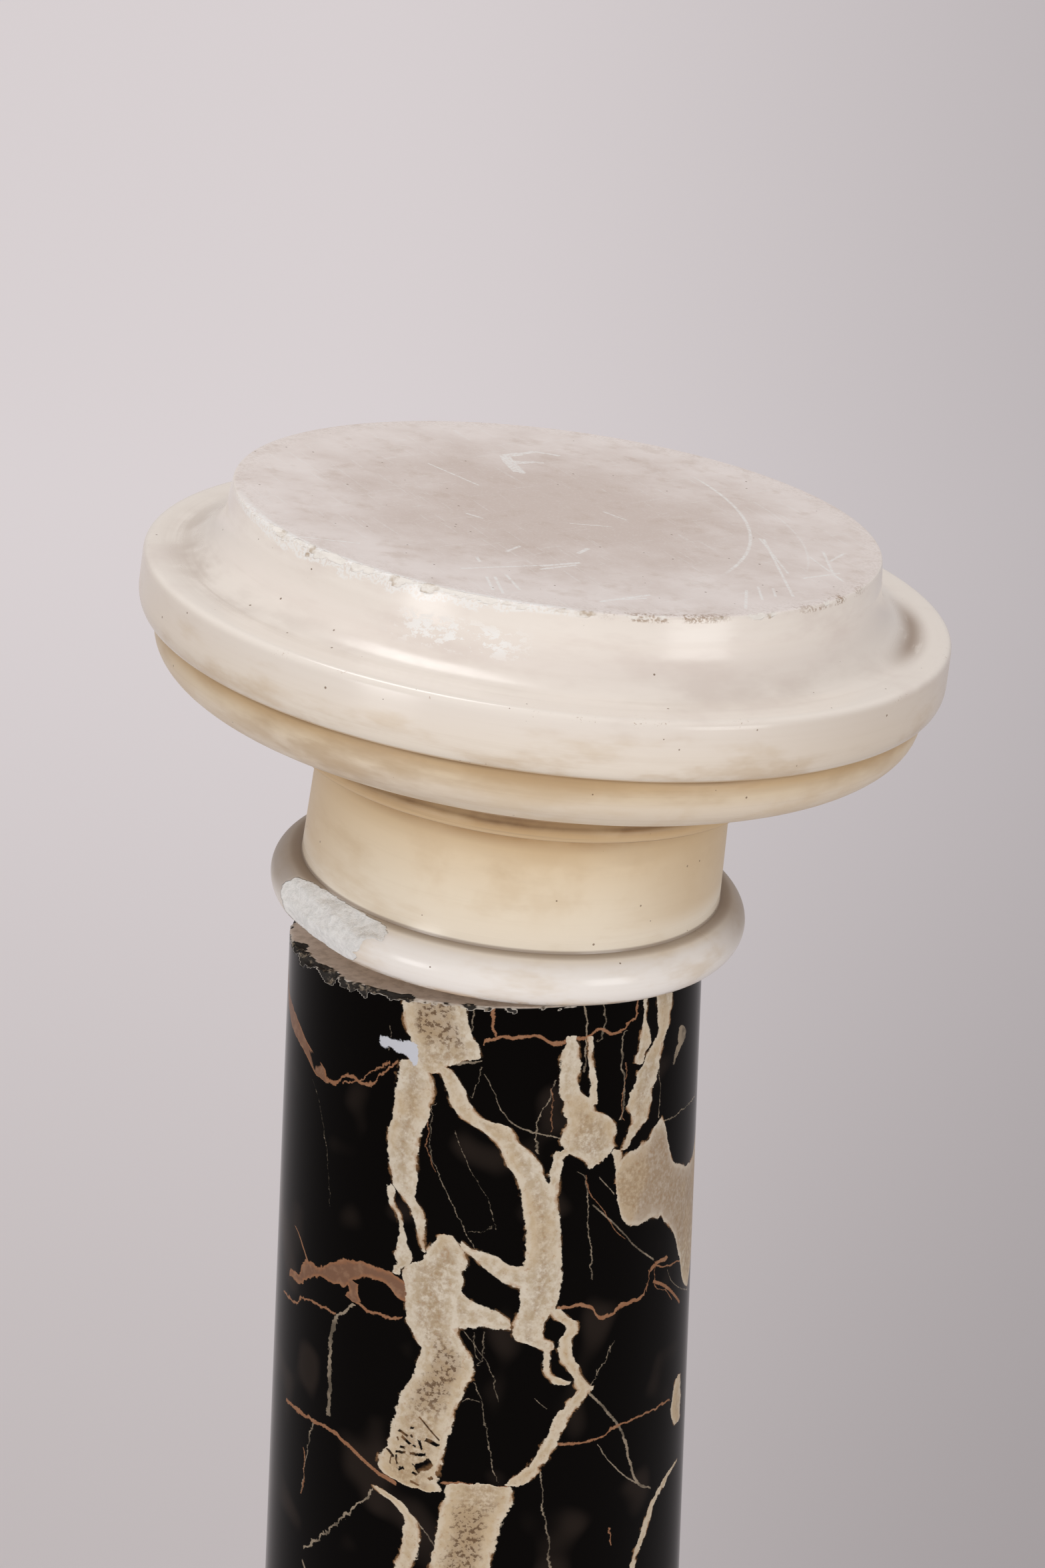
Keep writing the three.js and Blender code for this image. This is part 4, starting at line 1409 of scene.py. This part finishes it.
@dataclass
class Capital:
    """The white capital, which leans to the front right on the shaft."""

    lean_right: float = 4.98
    lean_front: float = 3.7
    shift: float = 2.66
    lift: float = 0.3
    seat_radius: float = 66.0
    seat_depth: float = 20.0
    ring_radius: float = 92.6
    ring_tube: float = 10.8
    ring_height: float = 21.1
    neck_foot: Point = (91.0, 32.0)
    neck_head: Point = (88.7, 85.4)
    fillet_radius: float = 102.6
    fillet_top: float = 91.0
    quirk_radius: float = 99.5
    echinus: tuple[Point, ...] = ((111.0, 103.4), (169.9, 109.6), (161.6, 135.2))
    fascia: tuple[Point, ...] = ((163.4, 136.2), (170.9, 137.2), (170.2, 147.5))
    fascia_radius: float = 169.8
    fascia_top: float = 162.9
    fascia_ease: float = 3.4
    cavetto_from: float = 157.0
    cavetto: float = 20.0
    top_radius: float = 135.6
    top_height: float = 192.7
    breaks: tuple[Break, ...] = (Break(-49.5, 45.8, 3.7), Break(-52.3, 18.5, 5.0), Break(-52.9, -25.0, 3.7))
    chips: tuple[Chips, ...] = (Chips(-38.0, 34.0, 1.9, 0.14, 0.35), Chips(20.0, 78.0, 1.1, 0.18))
    sides: int = 560

    def place(self) -> Matrix:
        """The capital's own frame.

        Returns:
            The frame in the row's frame, in metres.
        """
        lean = Euler((math.radians(self.lean_front), math.radians(self.lean_right), 0.0), "XYZ")
        at = Vector((self.shift, 0.0, SHAFT_TOP + self.lift)) * MM
        return Matrix.Translation(at) @ lean.to_matrix().to_4x4()

    def outline(self) -> Profile:
        """The turned profile from the seat to the flat top.

        Returns:
            The profile in millimetres.
        """
        seat, underside = -self.seat_depth, self.ring_height - self.ring_tube
        foot, head = self.neck_foot, self.neck_head
        fillet, fillet_top = self.fillet_radius, self.fillet_top
        rise, belly, brow = self.echinus
        lip, bulge, face = self.fascia
        edge, ledge, ease = self.fascia_radius, self.fascia_top, self.fascia_ease
        rim, top = self.top_radius, self.top_height
        line = Profile([(0.0, seat)]).to(self.seat_radius, seat, 30.0).to(self.seat_radius, underside, 8.0)
        line.to(self.ring_radius - 1.0, underside, 8.0)
        line.arc((self.ring_radius, self.ring_height), self.ring_tube, -90, 86, 30)
        line.to(foot[0] + 0.3, foot[1] - 0.2).to(foot[0], foot[1] + 0.8).to(head[0], head[1] - 2.0, 8.0)
        line.swell((head[0] + 0.2, head[1]), (head[0] + 2.0, head[1]), 3)
        line.to(fillet - 0.8, head[1], 5.0).to(fillet, head[1] + 0.8)
        line.to(fillet, fillet_top - 0.9, 2.0).to(fillet - 0.8, fillet_top)
        line.to(self.quirk_radius, fillet_top + 1.5)
        line.swell((self.quirk_radius - 0.8, rise[1] - 0.5), rise, 6).swell(belly, brow, 26)
        line.to(brow[0] - 0.2, brow[1] + 0.7).to(lip[0] - 0.4, lip[1] + 0.1)
        line.to(*lip).swell(bulge, face, 10).to(edge, ledge - ease, 4.0)
        line.swell((edge - 0.1, ledge), (edge - ease, ledge), 6)
        line.to(self.cavetto_from + 0.5, ledge, 3.0)
        line.arc((self.cavetto_from, ledge + self.cavetto), self.cavetto, 270, 180, 16)
        line.to(rim, top - 0.2, 0.8).to(rim - 0.2, top)
        return line.to(124.0, top, 0.9).to(60.0, top, 30.0).to(0.0, top)

    def build(self) -> Piece:
        """Turns the capital, breaks its ring, chips its top edge and levels its seat.

        Returns:
            The piece.
        """
        piece = turned_mesh("marble_capital", self.outline(), self.sides)
        wear = Wear(piece)
        wear.break_ring(self.ring_radius, self.ring_height, self.ring_tube, *self.breaks)
        wear.chip_edge(self.top_radius, self.top_height, *self.chips)
        wear.finish(self.place())
        shape = bmesh.new()
        shape.from_mesh(piece.data)
        level = Vector((0.0, 0.0, (SHAFT_TOP + self.lift) * MM))
        cut = bmesh.ops.bisect_plane(shape, geom=shape.verts[:] + shape.edges[:] + shape.faces[:], dist=HAIR,
                                     plane_co=level, plane_no=(0, 0, 1), clear_inner=True)
        rim = [edge for edge in cut["geom_cut"] if isinstance(edge, bmesh.types.BMEdge)]
        bmesh.ops.contextual_create(shape, geom=rim)
        shape.to_mesh(piece.data)
        shape.free()
        return piece

    def dress(self, piece: Piece, marble: WhiteMarble) -> None:
        """Gives the capital its stained marble."""
        settle(piece, "capital", marble.capital(self.place()))


@dataclass(frozen=True)
class Softbox:
    """One soft studio light aimed at the capital."""

    name: str
    bearing: float
    rise: float
    distance: float
    width: float
    height: float
    power: float
    mirrored: bool = True

    def build(self, aim: Vector) -> None:
        """Hangs the light.

        Args:
            aim: The point that it faces.
        """
        turn, rise = math.radians(self.bearing), math.radians(self.rise)
        away = Vector((math.sin(turn) * math.cos(rise), -math.cos(turn) * math.cos(rise), math.sin(rise)))
        lamp = bpy.data.lights.new(self.name, "AREA")
        lamp.shape = "RECTANGLE"
        lamp.size, lamp.size_y = self.width, self.height
        lamp.energy = self.power
        holder = bpy.data.objects.new(self.name, lamp)
        holder.location = aim + away * self.distance
        holder.rotation_euler = away.to_track_quat("Z", "Y").to_euler()
        holder.visible_glossy = self.mirrored
        bpy.context.scene.collection.objects.link(holder)


@dataclass
class Studio:
    """A pale floor that glows with painted light, soft lights and the camera."""

    aim: tuple[float, float, float] = (8.72, 0.0, 68.84)
    distance: float = 1424.7
    rise: float = 16.806
    roll: float = 2.301
    lens: float = 76.04
    sensor: float = 36.0
    sight: float = 200.0
    floor_reach: float = 30.0
    floor_sides: int = 96
    floor_rough: float = 0.9
    floor_gloss: float = 0.1
    eye_back: float = 1.4
    nearest: float = 0.5
    # Painted light on the floor: the tones of its falloff, which also feed its glow.
    near_tone: Colour = tone(186, 180, 180)
    far_tone: Colour = tone(241, 235, 236)
    right_shade: Colour = tone(216, 216, 217)
    plain_tone: Colour = tone(178, 173, 173)
    glow: float = 0.29
    sky: Colour = tone(236, 232, 233)
    sky_strength: float = 0.58
    lights: tuple[Softbox, ...] = (
        Softbox("left_box", -40.0, -2.0, 2.3, 0.62, 0.76, 6.5),
        Softbox("right_box", 50.0, 0.0, 2.3, 0.9, 1.0, 8.6),
        Softbox("top_box", -112.0, 78.0, 2.2, 0.9, 0.9, 16.0),
        Softbox("front_fill", -8.0, 4.0, 2.6, 2.0, 1.6, 15.5, mirrored=False),
    )

    def build(self) -> None:
        """Sets the floor, the lights, the surroundings and the camera."""
        target = Vector((self.aim[0], self.aim[1], SHAFT_TOP + self.aim[2])) * MM
        self.floor()
        for box in self.lights:
            box.build(target)
        world = bpy.data.worlds.new("studio")
        world.use_nodes = True
        sky = world.node_tree.nodes["Background"]
        sky.inputs["Color"].default_value = self.sky
        sky.inputs["Strength"].default_value = self.sky_strength
        scene = bpy.context.scene
        scene.world = world
        scene.view_settings.view_transform = "Standard"
        scene.camera = self.camera(target)

    def floor(self) -> None:
        """Lays a round, matt floor that glows with painted light: paler far behind, darker to the right and a plain
        tone in front.
        """
        shape = bmesh.new()
        bmesh.ops.create_circle(shape, cap_ends=True, cap_tris=True, segments=self.floor_sides, radius=self.floor_reach)
        floor = new_piece("studio_floor", shape)
        material, g, shader = new_material("pale_floor")
        axes = g.axes(g.own())
        back = g.math("MAXIMUM", g.math("ADD", axes[1], self.eye_back), self.nearest)
        aside = g.math("DIVIDE", axes[0], back)
        # Painted light: the floor's tone and glow fall off towards the front and to the right.
        floor_light = g.coat(self.near_tone, self.far_tone, g.rise(g.math("LOGARITHM", back, 10.0), 0.25, 0.85))
        floor_light = g.blend(g.rise(aside, -0.08, 0.24), floor_light, self.right_shade, "MULTIPLY")
        floor_light = g.coat(floor_light, self.plain_tone, g.rise(axes[1], 0.9, 0.2))
        feeds = {"Base Color": floor_light, "Emission Color": floor_light, "Emission Strength": self.glow,
                 "Roughness": self.floor_rough, "Specular IOR Level": self.floor_gloss}
        for name, value in feeds.items():
            g.feed(shader.inputs[name], value)
        floor.data.materials.append(material)

    def camera(self, target: Vector) -> Piece:
        """Places the camera at the photograph's angle.

        Args:
            target: The point at the middle of the picture.

        Returns:
            The camera object.
        """
        rise, roll = math.radians(self.rise), math.radians(self.roll)
        back = Vector((0.0, -math.cos(rise), math.sin(rise)))
        right, up = Vector((1.0, 0.0, 0.0)), Vector((0.0, math.sin(rise), math.cos(rise)))
        side = right * math.cos(roll) + up * math.sin(roll)
        crown = up * math.cos(roll) - right * math.sin(roll)
        turn = Matrix((side, crown, back)).transposed().to_4x4()
        lens = bpy.data.cameras.new("camera")
        lens.lens, lens.sensor_width = self.lens, self.sensor
        lens.clip_end = self.sight
        holder = bpy.data.objects.new("camera", lens)
        holder.matrix_world = Matrix.Translation(target + back * self.distance * MM) @ turn
        bpy.context.scene.collection.objects.link(holder)
        return holder


def main() -> None:
    """Builds the studio and the three pieces in order, and notes the sizes."""
    logging.basicConfig(level=logging.INFO, format="%(message)s")
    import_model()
    Studio().build()
    white = WhiteMarble(stone_body())
    base, shaft, capital = Base(), Shaft(), Capital()
    base.dress(base.build(), white)
    shaft.dress(shaft.build(), BlackMarble())
    capital.dress(capital.build(), white)


if __name__ == "__main__":
    main()
